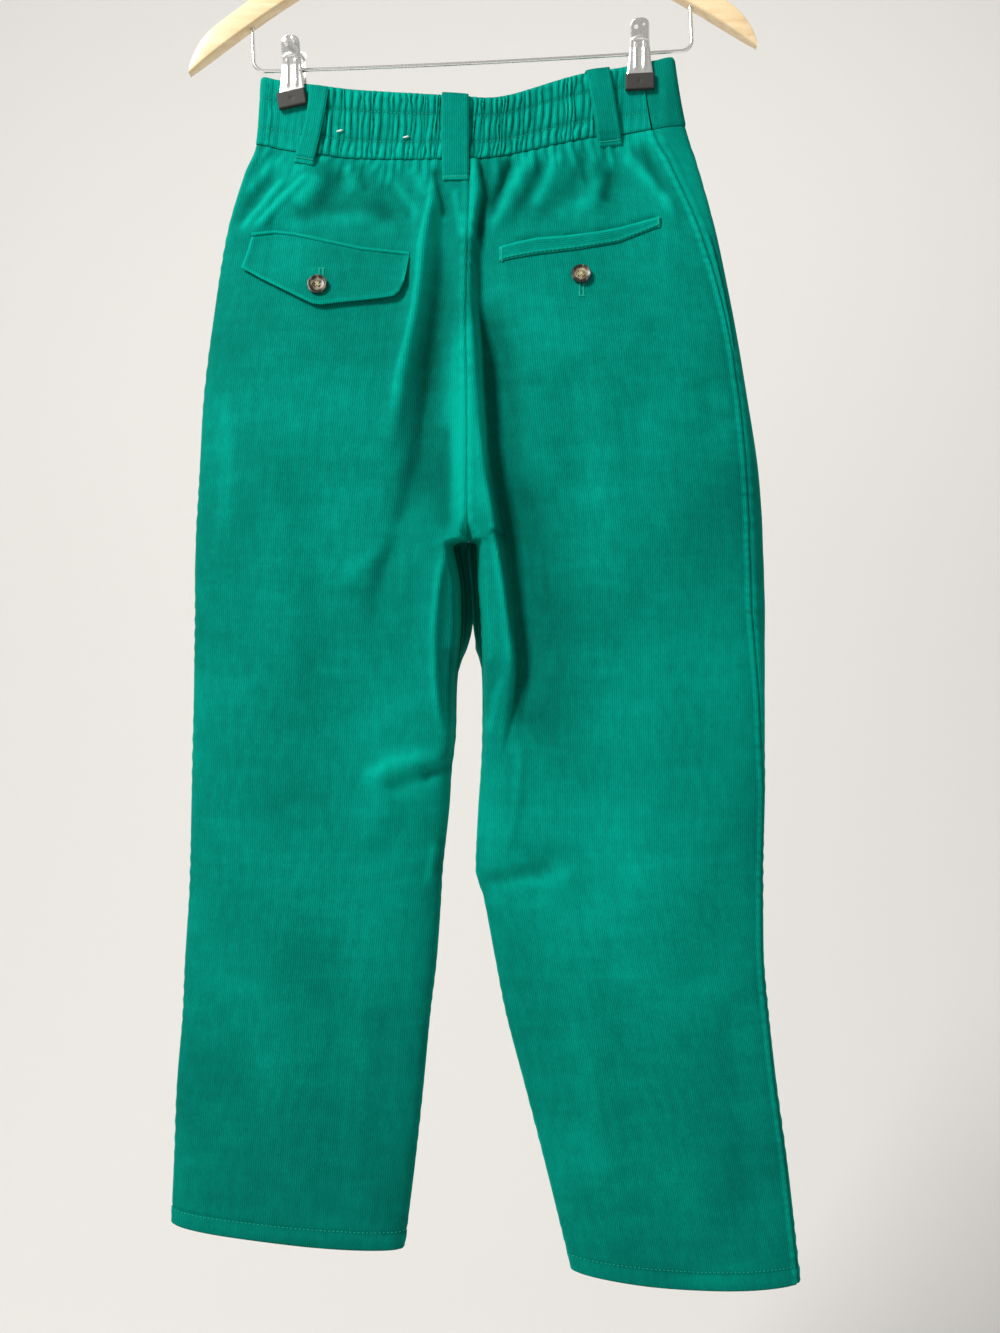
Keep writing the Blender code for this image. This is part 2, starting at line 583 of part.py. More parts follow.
Edge = namedtuple("Edge", "x drop")
JET_LINE = (Edge(-162, 111), Edge(-143, 109), Edge(-129, 111), Edge(-106, 117), Edge(-76, 124), Edge(-38, 129))
JET_HEIGHT = 3.6
FLAP_EDGE = (Edge(-168, 141), Edge(-152, 151), Edge(-137, 159), Edge(-122, 167), Edge(-112, 172),
             Edge(-105, 172.8), Edge(-91, 171), Edge(-61, 168), Edge(-50, 166.5), Edge(-44, 163), Edge(-40, 155))
FLAP_CLOTH = 1.8
WELT_MOUTH = (Edge(31, 123.5), Edge(62, 117.5), Edge(92, 112), Edge(123, 105.5), Edge(138, 101), Edge(156, 96.5))
WELT_SEAM = (Edge(31, 136), Edge(62, 130.5), Edge(92, 126), Edge(123, 119.5), Edge(156, 106))

Spot = namedtuple("Spot", "name x drop stand behind")
# stand: from the middle of the cloth to the back of the button.
BUTTONS = (
    Spot("button_flap", -108.2, 157.6, 5.0, True),
    Spot("button_welt", 93.2, 147.4, 1.8, True),
    Spot("button_waist", 20, 24, 1.8, False),
)
BUTTON_RADIUS = 7.7
BUTTON_THICKNESS = 3.0
BUTTON_HOLE_RADIUS = 0.9
BUTTON_HOLE_SPREAD = 1.7

FLY_TOP = 60.0
FLY_END = 205.0
FLY_WIDTH = 39.0
FLY_CLOTH = 1.6
FLY_GAP = 1.0               # clear space between the front panels and the zip
ZIP_CLOTH = 0.9


def edge_drop(edge, x):
    """Drop of an edge line at x."""
    return np.interp(x, [point.x for point in edge], [point.drop for point in edge])


def patch(name, x, drop, inside, outside, material, behind=True):
    """Piece that lies on the cloth, between two offsets from the middle of the wall below it."""
    return wall(name, on_cloth(x, drop, inside, behind), on_cloth(x, drop, outside, behind), material)


def belt_loop(loop, material):
    """Strip sewn at the band's top edge and below the band."""
    along = np.linspace(0.0, 1.0, 11)[:, None]
    across = np.linspace(-0.5, 0.5, 4)[None, :]
    split = (loop.middle.drop - loop.top.drop) / (loop.end.drop - loop.top.drop)
    first = (along - split) * (along - 1.0) / split
    second = along * (1.0 - along) / (split * (1.0 - split))
    third = along * (along - split) / (1.0 - split)
    centre, drop, width = (first * start + second * middle + third * end
                           for start, middle, end in zip(loop.top, loop.middle, loop.end))
    slant = math.atan2(loop.end.x - loop.top.x, loop.end.drop - loop.top.drop)
    x = centre + across * width * math.cos(slant)
    drop = drop - across * width * math.sin(slant)
    on_band = 0.5 * BAND_CLOTH + GATHER_DEPTH + SEAM_GAP + LOOP_STAND * np.sin(math.pi * along)
    on_panel = 0.5 * CLOTH + LAY_GAP
    lowered = smoothstep(loop.seam + 0.02, 1.0, along)
    inside = on_band + (on_panel - on_band) * lowered
    return patch(loop.name, x, drop, inside, inside + LOOP_CLOTH, material, loop.behind)


def flap_pocket(material):
    """Pointed flap of the left back pocket and the narrow jet above it."""
    across = np.linspace(0.0, 1.0, 15)[None, :]
    jet_x = JET_LINE[0].x + (JET_LINE[-1].x - JET_LINE[0].x) * across
    down = np.array([0.0, 1.0])[:, None]
    base = 0.5 * CLOTH + LAY_GAP
    patch("pocket_jet", jet_x + 0 * down, edge_drop(JET_LINE, jet_x) + JET_HEIGHT * down,
          base, base + 1.5, material)
    down = np.linspace(0.0, 1.0, 6)[:, None]
    across = np.linspace(0.0, 1.0, 21)[None, :]
    left = JET_LINE[0].x + (FLAP_EDGE[0].x - JET_LINE[0].x) * down
    right = JET_LINE[-1].x + (FLAP_EDGE[-1].x - JET_LINE[-1].x) * down
    x = left + (right - left) * across
    top = edge_drop(JET_LINE, x) + JET_HEIGHT + SEAM_GAP
    drop = top + (edge_drop(FLAP_EDGE, x) - top) * down
    lift = base + 1.1 * down * down
    patch("pocket_flap", x, drop, lift, lift + FLAP_CLOTH, material)


def welt_pocket(material):
    """Wide welt of the right back pocket, a little open along its mouth."""
    across = np.linspace(0.0, 1.0, 13)[None, :]
    down = np.linspace(0.0, 1.0, 4)[:, None]
    x = WELT_MOUTH[0].x + (WELT_MOUTH[-1].x - WELT_MOUTH[0].x) * across + 0 * down
    drop = edge_drop(WELT_MOUTH, x) + (edge_drop(WELT_SEAM, x) - edge_drop(WELT_MOUTH, x)) * down
    base = 0.5 * CLOTH + LAY_GAP + 0.6 * np.sin(math.pi * across) * (1.0 - down)
    patch("pocket_welt", x, drop, base, base + FLAP_CLOTH, material)


def fly(material, tape):
    """Underlap and closed zip behind the centre front."""
    along = np.linspace(0.0, 1.0, 9)[:, None]
    drop = FLY_TOP + (FLY_END - FLY_TOP) * along
    centre = np.interp(drop, [row.in_drop for row in LEFT], [row.in_x for row in LEFT])
    depth = 0.5 * CLOTH + FLY_GAP
    under = depth + ZIP_CLOTH + LAY_GAP
    across = np.linspace(-0.5, 0.5, 7)[None, :]
    x = centre + across * FLY_WIDTH
    drop = drop + 0 * across
    patch("fly_zip", x[:, 1:-1], drop[:, 1:-1], -depth - ZIP_CLOTH, -depth, tape, behind=False)
    patch("fly_underlap", x, drop, -under - FLY_CLOTH, -under, material, behind=False)


def turned(name, profile, material, segments):
    """Solid of revolution about Z from radius, height pairs that start and end on the axis."""
    bm = bmesh.new()
    verts = [bm.verts.new(Vector((radius, 0.0, height)) * MM) for radius, height in profile]
    edges = [bm.edges.new(pair) for pair in zip(verts, verts[1:])]
    bmesh.ops.spin(bm, geom=verts + edges, cent=(0, 0, 0), axis=(0, 0, 1), angle=2 * math.pi,
                   steps=segments, use_merge=True)
    bmesh.ops.remove_doubles(bm, verts=bm.verts, dist=1e-6)
    return new_object(name, bm, material, 30.0)


def cutter(name, bm):
    """Hidden guide whose shape is cut out of another object."""
    obj = new_object(name, bm, None)
    obj.display_type = "WIRE"
    obj.hide_render = True
    return obj


def combine(obj, other, operation):
    """Join or cut with another object."""
    modifier = obj.modifiers.new(operation.lower(), "BOOLEAN")
    modifier.operation = operation
    modifier.object = other
    return obj


def placed_rod(bm, start, end, radius, segments):
    """Add a closed cylinder between two points in millimetres."""
    start = Vector(start) * MM
    end = Vector(end) * MM
    way = end - start
    turn = way.to_track_quat("Z", "Y").to_matrix().to_4x4()
    bmesh.ops.create_cone(bm, cap_ends=True, segments=segments, radius1=radius * MM, radius2=radius * MM,
                          depth=way.length, matrix=Matrix.Translation((start + end) / 2) @ turn)


def button(spot, material):
    """Four-hole button with a raised rim, lying on the cloth."""
    rim = BUTTON_RADIUS
    profile = ((0, 0), (0.72 * rim, 0), (0.97 * rim, 0.9), (rim, 0.6 * BUTTON_THICKNESS),
               (0.9 * rim, BUTTON_THICKNESS), (0.68 * rim, 0.68 * BUTTON_THICKNESS), (0, 0.6 * BUTTON_THICKNESS))
    obj = turned(spot.name, profile, material, 16)
    bm = bmesh.new()
    for side_x in (-1, 1):
        for side_z in (-1, 1):
            foot = (side_x * BUTTON_HOLE_SPREAD, side_z * BUTTON_HOLE_SPREAD)
            placed_rod(bm, (*foot, -1.0), (*foot, BUTTON_THICKNESS + 1.0), BUTTON_HOLE_RADIUS, 6)
    holes = cutter(spot.name + "_holes", bm)
    holes.parent = obj
    combine(obj, holes, "DIFFERENCE")
    place = on_cloth([spot.x], [spot.drop], [spot.stand], spot.behind)[0]
    above = on_cloth([spot.x], [spot.drop], [spot.stand + 1.0], spot.behind)[0]
    face = Vector(above - place).normalized()
    obj.matrix_world = Matrix.Translation(Vector(place) * MM) @ face.to_track_quat("Z", "X").to_matrix().to_4x4()


# Hanger, in its own level frame about the hook seat, then tilted

HANGER_TILT = 2.8           # degrees, the left end hangs lower
ARM_REACH = 223.0
ARM_THICKNESS = 12.0
ARM_CHAMFER = 2.0
NECK_LOW = -95.9
ARM_FALL = 108.7
NECK_HEIGHT = 34.0
ARM_HEIGHT = 20.5
ARM_EVEN = 170.0            # the arms taper as far as this
ARM_ROUND = 23.0            # rounded length at each arm's end
ROD_RADIUS = 1.5
ROD_X = 172.5
ROD_LEVEL = -203.9
ROD_SAG = 1.6               # the rod bends this far down between its corners
ROD_BEND = 8.5
HOLE_PLAY = 0.35
HOOK_WIRE = 2.0
HOOK_SEAT_RADIUS = 17.0
CLIP_TOP = 22.0
PAD_TOP = -18.0
PAD_END = -30.7
PAD_WIDTH = 22.5
PAD_THICKNESS = 4.0
PAD_CLEAR = PINCH + 0.5 * BAND_CLOTH + SEAM_GAP + 0.15
PLATE = 1.0
EAR_REACH = 2.6
PIVOT = 0.8                 # the rod passes this far above the middle of the ears
SPRING_RADIUS = 3.0
SPRING_WIRE = 0.5
SPRING_TURNS = 4


def tilt():
    """Turn of the hanger about the hook seat."""
    return Matrix.Rotation(-math.radians(HANGER_TILT), 4, "Y")


def loft(name, rings, material, smooth_angle=40.0):
    """Closed solid through rings of points in millimetres, with flat ends."""
    rings = np.asarray(rings)
    bm = bmesh.new()
    ring = bmesh.ops.create_circle(bm, cap_ends=False, segments=rings.shape[1], radius=1.0)["verts"]
    bm.verts.ensure_lookup_table()
    for vert, point in zip(ring, rings[0]):
        vert.co = Vector(point) * MM
    edges = list({edge for vert in ring for edge in vert.link_edges})
    first = edges
    order = ring
    for points in rings[1:]:
        grown = bmesh.ops.extrude_edge_only(bm, edges=edges)["geom"]
        edges = [item for item in grown if isinstance(item, bmesh.types.BMEdge)]
        fresh = {item for item in grown if isinstance(item, bmesh.types.BMVert)}
        following = []
        for vert in order:
            following += [edge.other_vert(vert) for edge in vert.link_edges if edge.other_vert(vert) in fresh]
        order = following
        for vert, point in zip(order, points):
            vert.co = Vector(point) * MM
        edges = [edge for edge in edges if edge.verts[0] in fresh and edge.verts[1] in fresh]
    bmesh.ops.holes_fill(bm, edges=first + edges, sides=0)
    return new_object(name, bm, material, smooth_angle)


def wire_rings(path, radii, sides):
    """Round rings along a path in the hanger's plane."""
    path = np.asarray(path, float)
    ways = np.gradient(path, axis=0)
    ways /= np.linalg.norm(ways, axis=1, keepdims=True)
    angle = np.linspace(0.0, 2 * math.pi, sides, endpoint=False)
    rings = []
    for (x, z), (way_x, way_z), radius in zip(path, ways, radii):
        aside = radius * np.cos(angle)
        rings.append(np.stack([x + way_z * aside, radius * np.sin(angle), z - way_x * aside], axis=-1))
    return rings


def arc(centre, radius, start, end, steps):
    """Points on an arc, angles in degrees from +X towards +Z."""
    angles = np.radians(np.linspace(start, end, steps))
    return [(centre[0] + radius * math.cos(a), centre[1] + radius * math.sin(a)) for a in angles]


def arm_low(x):
    """Lower edge of the hanger's arms."""
    return NECK_LOW - ARM_FALL * (abs(x) / ARM_REACH) ** 1.5


def rod_level(x):
    """Height of the rod between its corners."""
    return ROD_LEVEL - ROD_SAG * (1.0 - (x / (ROD_X - ROD_BEND)) ** 2)


def hanger_arms(material):
    """Both wooden arms in one piece, with blind holes for the hook and for the trouser rod."""
    stations = ARM_REACH * np.sin(np.linspace(-0.5 * math.pi, 0.5 * math.pi, 27))
    half = 0.5 * ARM_THICKNESS
    rings = []
    for x in stations:
        height = NECK_HEIGHT + (ARM_HEIGHT - NECK_HEIGHT) * min(1.0, abs(x) / ARM_EVEN)
        past = max(0.0, abs(x) - (ARM_REACH - ARM_ROUND)) / ARM_ROUND
        height *= math.sqrt(max(0.0, 1.0 - past * past)) * 0.86 + 0.14
        low = arm_low(x)
        high = low + height
        cut = min(ARM_CHAMFER, 0.4 * height)
        corners = ((-half, low + cut), (-half + cut, low), (half - cut, low), (half, low + cut),
                   (half, high - cut), (half - cut, high), (-half + cut, high), (-half, high - cut))
        rings.append([(x, y, z) for y, z in corners])
    arms = loft("hanger_arms", rings, material)
    bm = bmesh.new()
    neck_top = NECK_LOW + NECK_HEIGHT
    placed_rod(bm, (0, 0, neck_top + 5), (0, 0, neck_top - 20), HOOK_WIRE + HOLE_PLAY, 10)
    for side in (-1, 1):
        mouth = arm_low(ROD_X)
        placed_rod(bm, (side * ROD_X, 0, mouth - 12), (side * ROD_X, 0, mouth + 10), ROD_RADIUS + HOLE_PLAY, 10)
    holes = cutter("hanger_holes", bm)
    combine(arms, holes, "DIFFERENCE")
    arms.matrix_world = tilt()
    holes.matrix_world = tilt()


def hanger_hook(material):
    """Steel wire hook; the inside of its top is the origin."""
    neck_top = NECK_LOW + NECK_HEIGHT
    centre = (0.0, -HOOK_SEAT_RADIUS)
    radius = HOOK_SEAT_RADIUS + HOOK_WIRE
    shank = [(0.0, z) for z in np.linspace(neck_top - 18.0, -48.0, 4)]
    bend = [(0.4, -43.5), (2.6, -39.2)]
    crook = arc(centre, radius, -68.0, 205.0, 17)
    path = shank + bend + crook
    radii = [HOOK_WIRE] * (len(path) - 1) + [0.55 * HOOK_WIRE]
    hook = loft("hanger_hook", wire_rings(path, radii, 8), material, 60.0)
    hook.matrix_world = tilt()


def trouser_rod(material):
    """Bent rod below the arms, on which the clips slide."""
    top = arm_low(ROD_X) + 8.0
    corner = ROD_LEVEL + ROD_BEND
    left = [(-ROD_X, top), (-ROD_X, corner + 4)] + arc((-ROD_X + ROD_BEND, corner), ROD_BEND, 180, 270, 6)
    middle = [(x, rod_level(x)) for x in np.linspace(-150.0, 150.0, 11)]
    right = arc((ROD_X - ROD_BEND, corner), ROD_BEND, 270, 360, 6) + [(ROD_X, corner + 4), (ROD_X, top)]
    path = left + middle + right
    rod = loft("trouser_rod", wire_rings(path, [ROD_RADIUS] * len(path), 8), material, 60.0)
    rod.matrix_world = tilt()


def clip_place(index):
    """Frame of a clip: on the rod's axis, upright, turned with the cloth that it holds."""
    slope = math.radians(HANGER_TILT)
    x = CLIP_X[index]
    level = (rod_level(x) + x * math.sin(slope)) / math.cos(slope) - PIVOT
    turn = Matrix.Rotation(-math.radians(CLIP_YAW[index]), 4, "Z")
    return Matrix.Translation(Vector((x, 0.0, level)) * MM) @ turn


def clip_jaw(name, side, ear_x, yaw, roll, material):
    """Stamped plate of a clip with two ears that ride on the rod; side -1 is the back of the trousers."""
    grip = PAD_CLEAR + 0.5 * PAD_THICKNESS - 0.4
    profile = ((CLIP_TOP, 12.5, 3.2), (CLIP_TOP - 1.6, 12.0, 6.0), (CLIP_TOP - 5.0, 11.0, 7.4), (9.0, 8.6, 7.4),
               (2.0, 6.9, 7.8), (-6.0, 6.3, 8.4), (-12.0, 6.1, 9.2), (PAD_TOP + SEAM_GAP, grip, 10.0))
    across = np.linspace(-1.0, 1.0, 5)
    grids = []
    for shift in (-0.5 * PLATE, 0.5 * PLATE):
        rows = np.array([[(share * half, side * (out + shift), level) for share in across]
                         for level, out, half in profile])
        rows[-1, :, 2] += rows[-1, :, 0] * math.tan(roll)
        grids.append(rows)
    jaw = wall(name, grids[0], grids[1], material)
    bm = bmesh.new()
    for ear_side in (-1, 1):
        reach = (7.1 + EAR_REACH)
        matrix = Matrix.Translation(Vector((ear_side * ear_x, side * (7.1 - 0.5 * reach), 0.0)) * MM)
        size = Matrix.Diagonal(Vector((PLATE, reach, 6.4, 1.0 / MM)) * MM)
        bmesh.ops.create_cube(bm, size=1.0, matrix=matrix @ size)
    ears = cutter(name + "_ears", bm)
    bm = bmesh.new()
    slope = math.radians(HANGER_TILT)
    rod_way = Vector((math.cos(slope) * math.cos(yaw), math.cos(slope) * math.sin(yaw), math.sin(slope)))
    pivot = Vector((0.0, 0.0, PIVOT))
    placed_rod(bm, pivot - 12 * rod_way, pivot + 12 * rod_way, ROD_RADIUS + HOLE_PLAY, 10)
    hole = cutter(name + "_hole", bm)
    combine(jaw, ears, "UNION")
    combine(jaw, hole, "DIFFERENCE")
    for guide in (ears, hole):
        guide.parent = jaw
    return jaw


def clip_pad(name, side, roll, material):
    """Rubber pad on a jaw's end, rolled a little in the jaw's plane."""
    bm = bmesh.new()
    centre = Vector((0.0, side * (PAD_CLEAR + 0.5 * PAD_THICKNESS), 0.5 * (PAD_TOP + PAD_END)))
    size = Matrix.Diagonal(Vector((PAD_WIDTH, PAD_THICKNESS, PAD_TOP - PAD_END, 1.0 / MM)) * MM)
    askew = Matrix.Rotation(-roll, 4, "Y")
    bmesh.ops.create_cube(bm, size=1.0, matrix=Matrix.Translation(centre * MM) @ askew @ size)
    bmesh.ops.bevel(bm, geom=bm.edges[:], offset=1.0 * MM, offset_type="OFFSET", affect="EDGES", segments=2,
                    profile=0.5, material=-1)
    return new_object(name, bm, material)


def clip_spring(name, material):
    """Coil spring round the rod, between the ears."""
    steps = SPRING_TURNS * 8
    angle = np.linspace(0.0, SPRING_TURNS * 2 * math.pi, steps + 1)
    along = np.linspace(-3.0, 3.0, steps + 1)
    around = np.linspace(0.0, 2 * math.pi, 4, endpoint=False)
    rings = []
    for turn, x in zip(angle, along):
        spoke = SPRING_RADIUS + SPRING_WIRE * np.cos(around)
        rings.append(np.stack([x + SPRING_WIRE * np.sin(around), spoke * math.cos(turn),
                               PIVOT + spoke * math.sin(turn)], axis=-1))
    return loft(name, rings, material, 60.0)


def clip(index, label, steel, rubber):
    """One spring clip that pinches the waistband."""
    place = clip_place(index)
    yaw = math.radians(CLIP_YAW[index])
    roll = math.radians(PAD_ROLL[index])
    pieces = [
        clip_jaw(f"clip_{label}_jaw_back", -1, 6.4, yaw, roll, steel),
        clip_jaw(f"clip_{label}_jaw_front", 1, 5.0, yaw, roll, steel),
        clip_pad(f"clip_{label}_pad_back", -1, roll, rubber),
        clip_pad(f"clip_{label}_pad_front", 1, roll, rubber),
        clip_spring(f"clip_{label}_spring", steel),
    ]
    for piece in pieces:
        piece.matrix_world = place


def build():
    """Build every piece."""
    cloth = material_for("corduroy", (0.0, 0.26, 0.19), 0.85)
    tape = material_for("zip_tape", (0.0, 0.18, 0.13), 0.7)
    horn = material_for("horn", (0.22, 0.18, 0.12), 0.3)
    wood = material_for("varnished_wood", (0.73, 0.54, 0.3), 0.4)
    steel = material_for("chromed_steel", (0.8, 0.8, 0.8), 0.15, 1.0)
    rubber = material_for("rubber", (0.04, 0.04, 0.035), 0.6)

    leg_panel("back_left", "left", True, cloth)
    leg_panel("back_right", "right", True, cloth)
    leg_panel("front_left", "left", False, cloth)
    leg_panel("front_right", "right", False, cloth)
    back_waistband("waistband_back", cloth)
    front_waistband("waistband_front_left", "left", cloth)
    front_waistband("waistband_front_right", "right", cloth)
    for loop in LOOPS:
        belt_loop(loop, cloth)
    flap_pocket(cloth)
    welt_pocket(cloth)
    fly(cloth, tape)
    for spot in BUTTONS:
        button(spot, horn)
    hanger_arms(wood)
    hanger_hook(steel)
    trouser_rod(steel)
    clip(0, "left", steel, rubber)
    clip(1, "right", steel, rubber)


for old in list(bpy.data.objects):
    bpy.data.objects.remove(old, do_unlink=True)
build()
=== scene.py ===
"""Dressed model of corduroy trousers that hang by the waist from a wooden clip hanger.

The model stands in the hanger's frame: the origin is the seat of the hook, +Z is up, the back of the
trousers faces -Y and +X is to the right of someone looking at that back. Shapes are worked out in
millimetres and become metres where a mesh is written. Heights on the cloth are drops below the waist
line. Each cloth piece is a thin shell on the form of the solid that it stands for.
"""
import logging
import math
from dataclasses import dataclass, field
from enum import Enum
from typing import NamedTuple

import bmesh
import bpy
import numpy as np
from bpy.types import Material, Mesh, Node, NodeSocket, NodeTree, Object
from mathutils import Matrix, Vector


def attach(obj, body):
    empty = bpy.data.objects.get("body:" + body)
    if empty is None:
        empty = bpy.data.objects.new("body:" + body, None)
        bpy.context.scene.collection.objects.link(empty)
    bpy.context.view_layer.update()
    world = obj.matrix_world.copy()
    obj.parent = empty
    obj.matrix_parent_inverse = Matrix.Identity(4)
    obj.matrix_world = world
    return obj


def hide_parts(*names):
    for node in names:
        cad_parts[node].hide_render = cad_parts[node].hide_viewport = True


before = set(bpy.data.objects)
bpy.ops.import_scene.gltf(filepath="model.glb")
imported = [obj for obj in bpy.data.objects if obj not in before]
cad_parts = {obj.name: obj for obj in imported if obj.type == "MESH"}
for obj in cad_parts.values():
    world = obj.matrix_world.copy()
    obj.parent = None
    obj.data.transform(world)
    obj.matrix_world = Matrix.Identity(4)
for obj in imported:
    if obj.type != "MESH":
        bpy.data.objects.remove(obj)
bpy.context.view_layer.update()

LOG = logging.getLogger("trousers")
Array = np.ndarray
MM = 0.001
SEED = 11
BODY = "root"
FOLD_REACH = 3.2  # Spreads beyond which a fold is left out


# ------------------------------
# The form that the cloth hangs in


class Half(Enum):
    """The two legs, as seen by someone looking at the back."""

    LEFT = "left"
    RIGHT = "right"

    def held_off(self, x: Array, limit: Array, gap: float) -> Array:
        """x, held on this half's side of a limit by a gap."""
        return np.minimum(x, limit - gap) if self is Half.LEFT else np.maximum(x, limit + gap)


class Side(Enum):
    """The two sides of the trousers; the value is the sign of y."""

    BACK = -1
    FRONT = 1


class Section(NamedTuple):
    """One level of a leg, in millimetres.

    out: side silhouette; in: centre seam, then the leg's inner edge; seam: side seam to silhouette,
    round the back; sag: how far the row hangs below a straight line; dip: the same near the centre.
    """

    out_x: float
    out_drop: float
    in_x: float
    in_drop: float
    seam: float = 0.0
    sag: float = 0.0
    dip: float = 0.0


LEFT = tuple(Section(*row) for row in (
    (-156, -15, 8, 5.5, 0, 3), (-160, 38, 7, 54, 0, 6), (-169, 62, 7, 78, 0, 5), (-182, 108, 6, 118, 0, 3),
    (-193, 180, 5, 184, 0, 1), (-200, 238, 6, 240), (-203, 290, 6, 288), (-205, 324, 6, 322),
    (-206, 340, 6, 338), (-206.3, 350, 7, 348.5), (-206.6, 360, 0, 349.5), (-207, 372, -6.5, 354),
    (-207, 388, -4, 367), (-207, 405, -1, 386), (-207.5, 435, -0.5, 415), (-208, 474, -3.5, 455),
    (-209, 514, -4.5, 500), (-209.5, 540, -8, 530), (-210, 563, -10, 560), (-211, 606, -15, 606),
    (-212, 632, -16.5, 632), (-215, 678, -20, 680), (-217, 722, -25, 722), (-221.5, 776, -30.5, 780),
    (-223.5, 830, -37, 840), (-226, 884, -45, 904, 0, 1.5),
))
RIGHT = tuple(Section(*row) for row in (
    (167, -29, 8, 5.5, 25, -4, 7), (176, 24, 7, 54, 25, -3.5, 4), (186, 56, 7, 78, 20, -1.5, 1.5),
    (200, 108, 6, 118, 12.5), (214, 178, 5, 184, 8.5), (224, 238, 6, 240, 8.5), (232, 290, 6, 288, 11.5),
    (235, 322, 6, 322, 12.5), (236, 338, 6, 338, 12.5), (236.3, 349, 7, 348.5, 12.5),
    (236.5, 357, 11, 350, 12.5), (237, 368, 13.5, 354, 12.5), (237.4, 384, 14, 367, 12.5),
    (238, 404, 15, 386, 12.5), (238, 435, 17, 415, 9.5), (238, 474, 18, 455, 6), (238, 514, 18, 500, 4),
    (238, 540, 17, 530, 2.5), (237.5, 563, 15, 560, 2), (236.5, 606, 13, 606, 2),
    (236.5, 634, 19.5, 630, 2), (237, 676, 28, 675, 2), (241, 722, 37, 721, 2), (247, 775, 52, 778, 2),
    (256, 842, 68, 840, 2), (266, 931, 88, 921, 2, 5),
))
TABLES = {Half.LEFT: LEFT, Half.RIGHT: RIGHT}


class Depth(NamedTuple):
    """Half depths of the hanging cloth behind and in front of its side seams."""

    drop: float
    back: float
    front: float


DEPTHS = tuple(Depth(*row) for row in (
    (60, 20, 15), (130, 25, 20), (210, 29, 23), (290, 30, 24), (350, 27, 22), (450, 24, 20), (560, 21, 18),
    (720, 18, 16), (930, 15, 13),
))


class Fold(NamedTuple):
    """A fold or crease. height: how far the cloth stands out, or sinks; left, right: its spread on
    each side of the path as it runs down, or below and above a path that runs to the right; path: x
    and drop of each of its points in turn.
    """

    height: float
    left: float
    right: float
    path: tuple[float, ...]


def folds(*rows: tuple[float, ...]) -> tuple[Fold, ...]:
    """Folds from rows of height, left, right and then the path."""
    return tuple(Fold(*row[:3], row[3:]) for row in rows)


BACK_FOLDS = folds(
    (-10, 3.5, 12, 18, 58, 20, 73, 18, 92, 14, 125, 13, 165, 17, 190, 20, 223, 22, 261, 26, 294, 33, 330,
     39, 367, 44, 410, 46, 445, 42, 476, 36, 515, 30, 540),
    (3, 7, 3, 8, 95, 6, 137, 8, 180, 11, 223, 13, 261, 17, 294, 25, 336, 31, 380),
    (4, 6, 4, -21, 56, -22, 80, -27, 110, -31, 145, -36, 186, -43, 225, -48, 262, -58, 300),
    (-5, 6, 9, -17, 60, -14, 90, -12, 125, -14, 170, -22, 225, -28, 268, -38, 320, -56, 372, -70, 440),
    (3.5, 9, 4, -12, 352, -17, 385, -20, 420, -20, 447, -18, 474, -14, 504),
    (3.4, 10, 5, -74, 540, -52, 524, -30, 519, -4, 520),
    (-2.4, 6, 5, -60, 545, -38, 536, -20, 529, -2, 527),
    (3, 10, 8, -50, 542, -58, 562, -78, 590),
    (2.2, 9, 5, 40, 500, 45, 520, 41, 560, 34, 600),
    (2, 10, 6, 10, 612, 30, 613, 72, 609, 100, 606),
    (-1.2, 7, 5, 12, 626, 34, 624, 70, 622),
    (3.5, 5, 6, -132, 62, -148, 82, -160, 104, -170, 122),
    (-3, 5, 5, -138, 56, -152, 76, -164, 94),
    (3, 6, 6, -112, 62, -130, 84, -146, 100, -160, 116),
    (-2.5, 6, 7, -92, 58, -98, 78, -106, 100, -112, 118),
    (2.5, 7, 7, -76, 58, -72, 84, -74, 112),
    (-2.5, 7, 7, -60, 58, -54, 82, -52, 108),
    (3.5, 6, 6, 60, 50, 50, 71, 38, 92, 26, 112),
    (-3.5, 5, 5, 44, 54, 34, 77, 24, 96),
    (3.5, 7, 7, 108, 48, 104, 68, 98, 92),
    (-3, 5, 5, 94, 44, 96, 62, 92, 86, 80, 104),
    (3, 6, 7, 128, 44, 139, 58, 152, 78, 164, 100),
    (3, 16, 14, 104, 225, 113, 290, 119, 350, 124, 420),
    (-3, 12, 10, 82, 215, 90, 262, 100, 330),
    (-2.5, 9, 9, 186, 225, 194, 250, 198, 275),
    (2.5, 14, 12, -150, 240, -140, 320, -132, 420, -128, 500),
    (-2, 12, 14, -110, 300, -104, 390, -100, 480),
    (2, 14, 14, -150, 640, -140, 720, -136, 800, -134, 880),
    (-2, 12, 12, -90, 620, -92, 720, -92, 820, -90, 900),
    (2, 14, 14, 150, 640, 168, 730, 184, 830, 196, 920),
    (-2, 12, 12, 110, 640, 126, 740, 140, 830, 150, 925),
)
FRONT_FOLDS = folds(
    (-4, 10, 14, 6, 80, 4, 140, 6, 200, 8, 262, 12, 310, 20, 360),
    (3, 8, 6, -14, 90, -18, 150, -26, 220, -40, 290, -60, 350),
    (3, 6, 9, 34, 96, 40, 160, 52, 230, 72, 300, 96, 360),
    (-3, 9, 9, -36, 240, -52, 300, -74, 370, -84, 440),
    (3, 8, 8, -96, 60, -100, 120, -104, 200),
    (3, 8, 8, 102, 50, 110, 120, 118, 200),
    (4, 9, 6, -96, 548, -64, 534, -30, 530, -8, 534),
    (3.5, 9, 6, 22, 590, 52, 584, 90, 590),
    (3, 14, 14, -116, 300, -116, 460, -118, 640, -130, 880),
    (3, 14, 14, 128, 300, 132, 460, 140, 640, 176, 900),
)
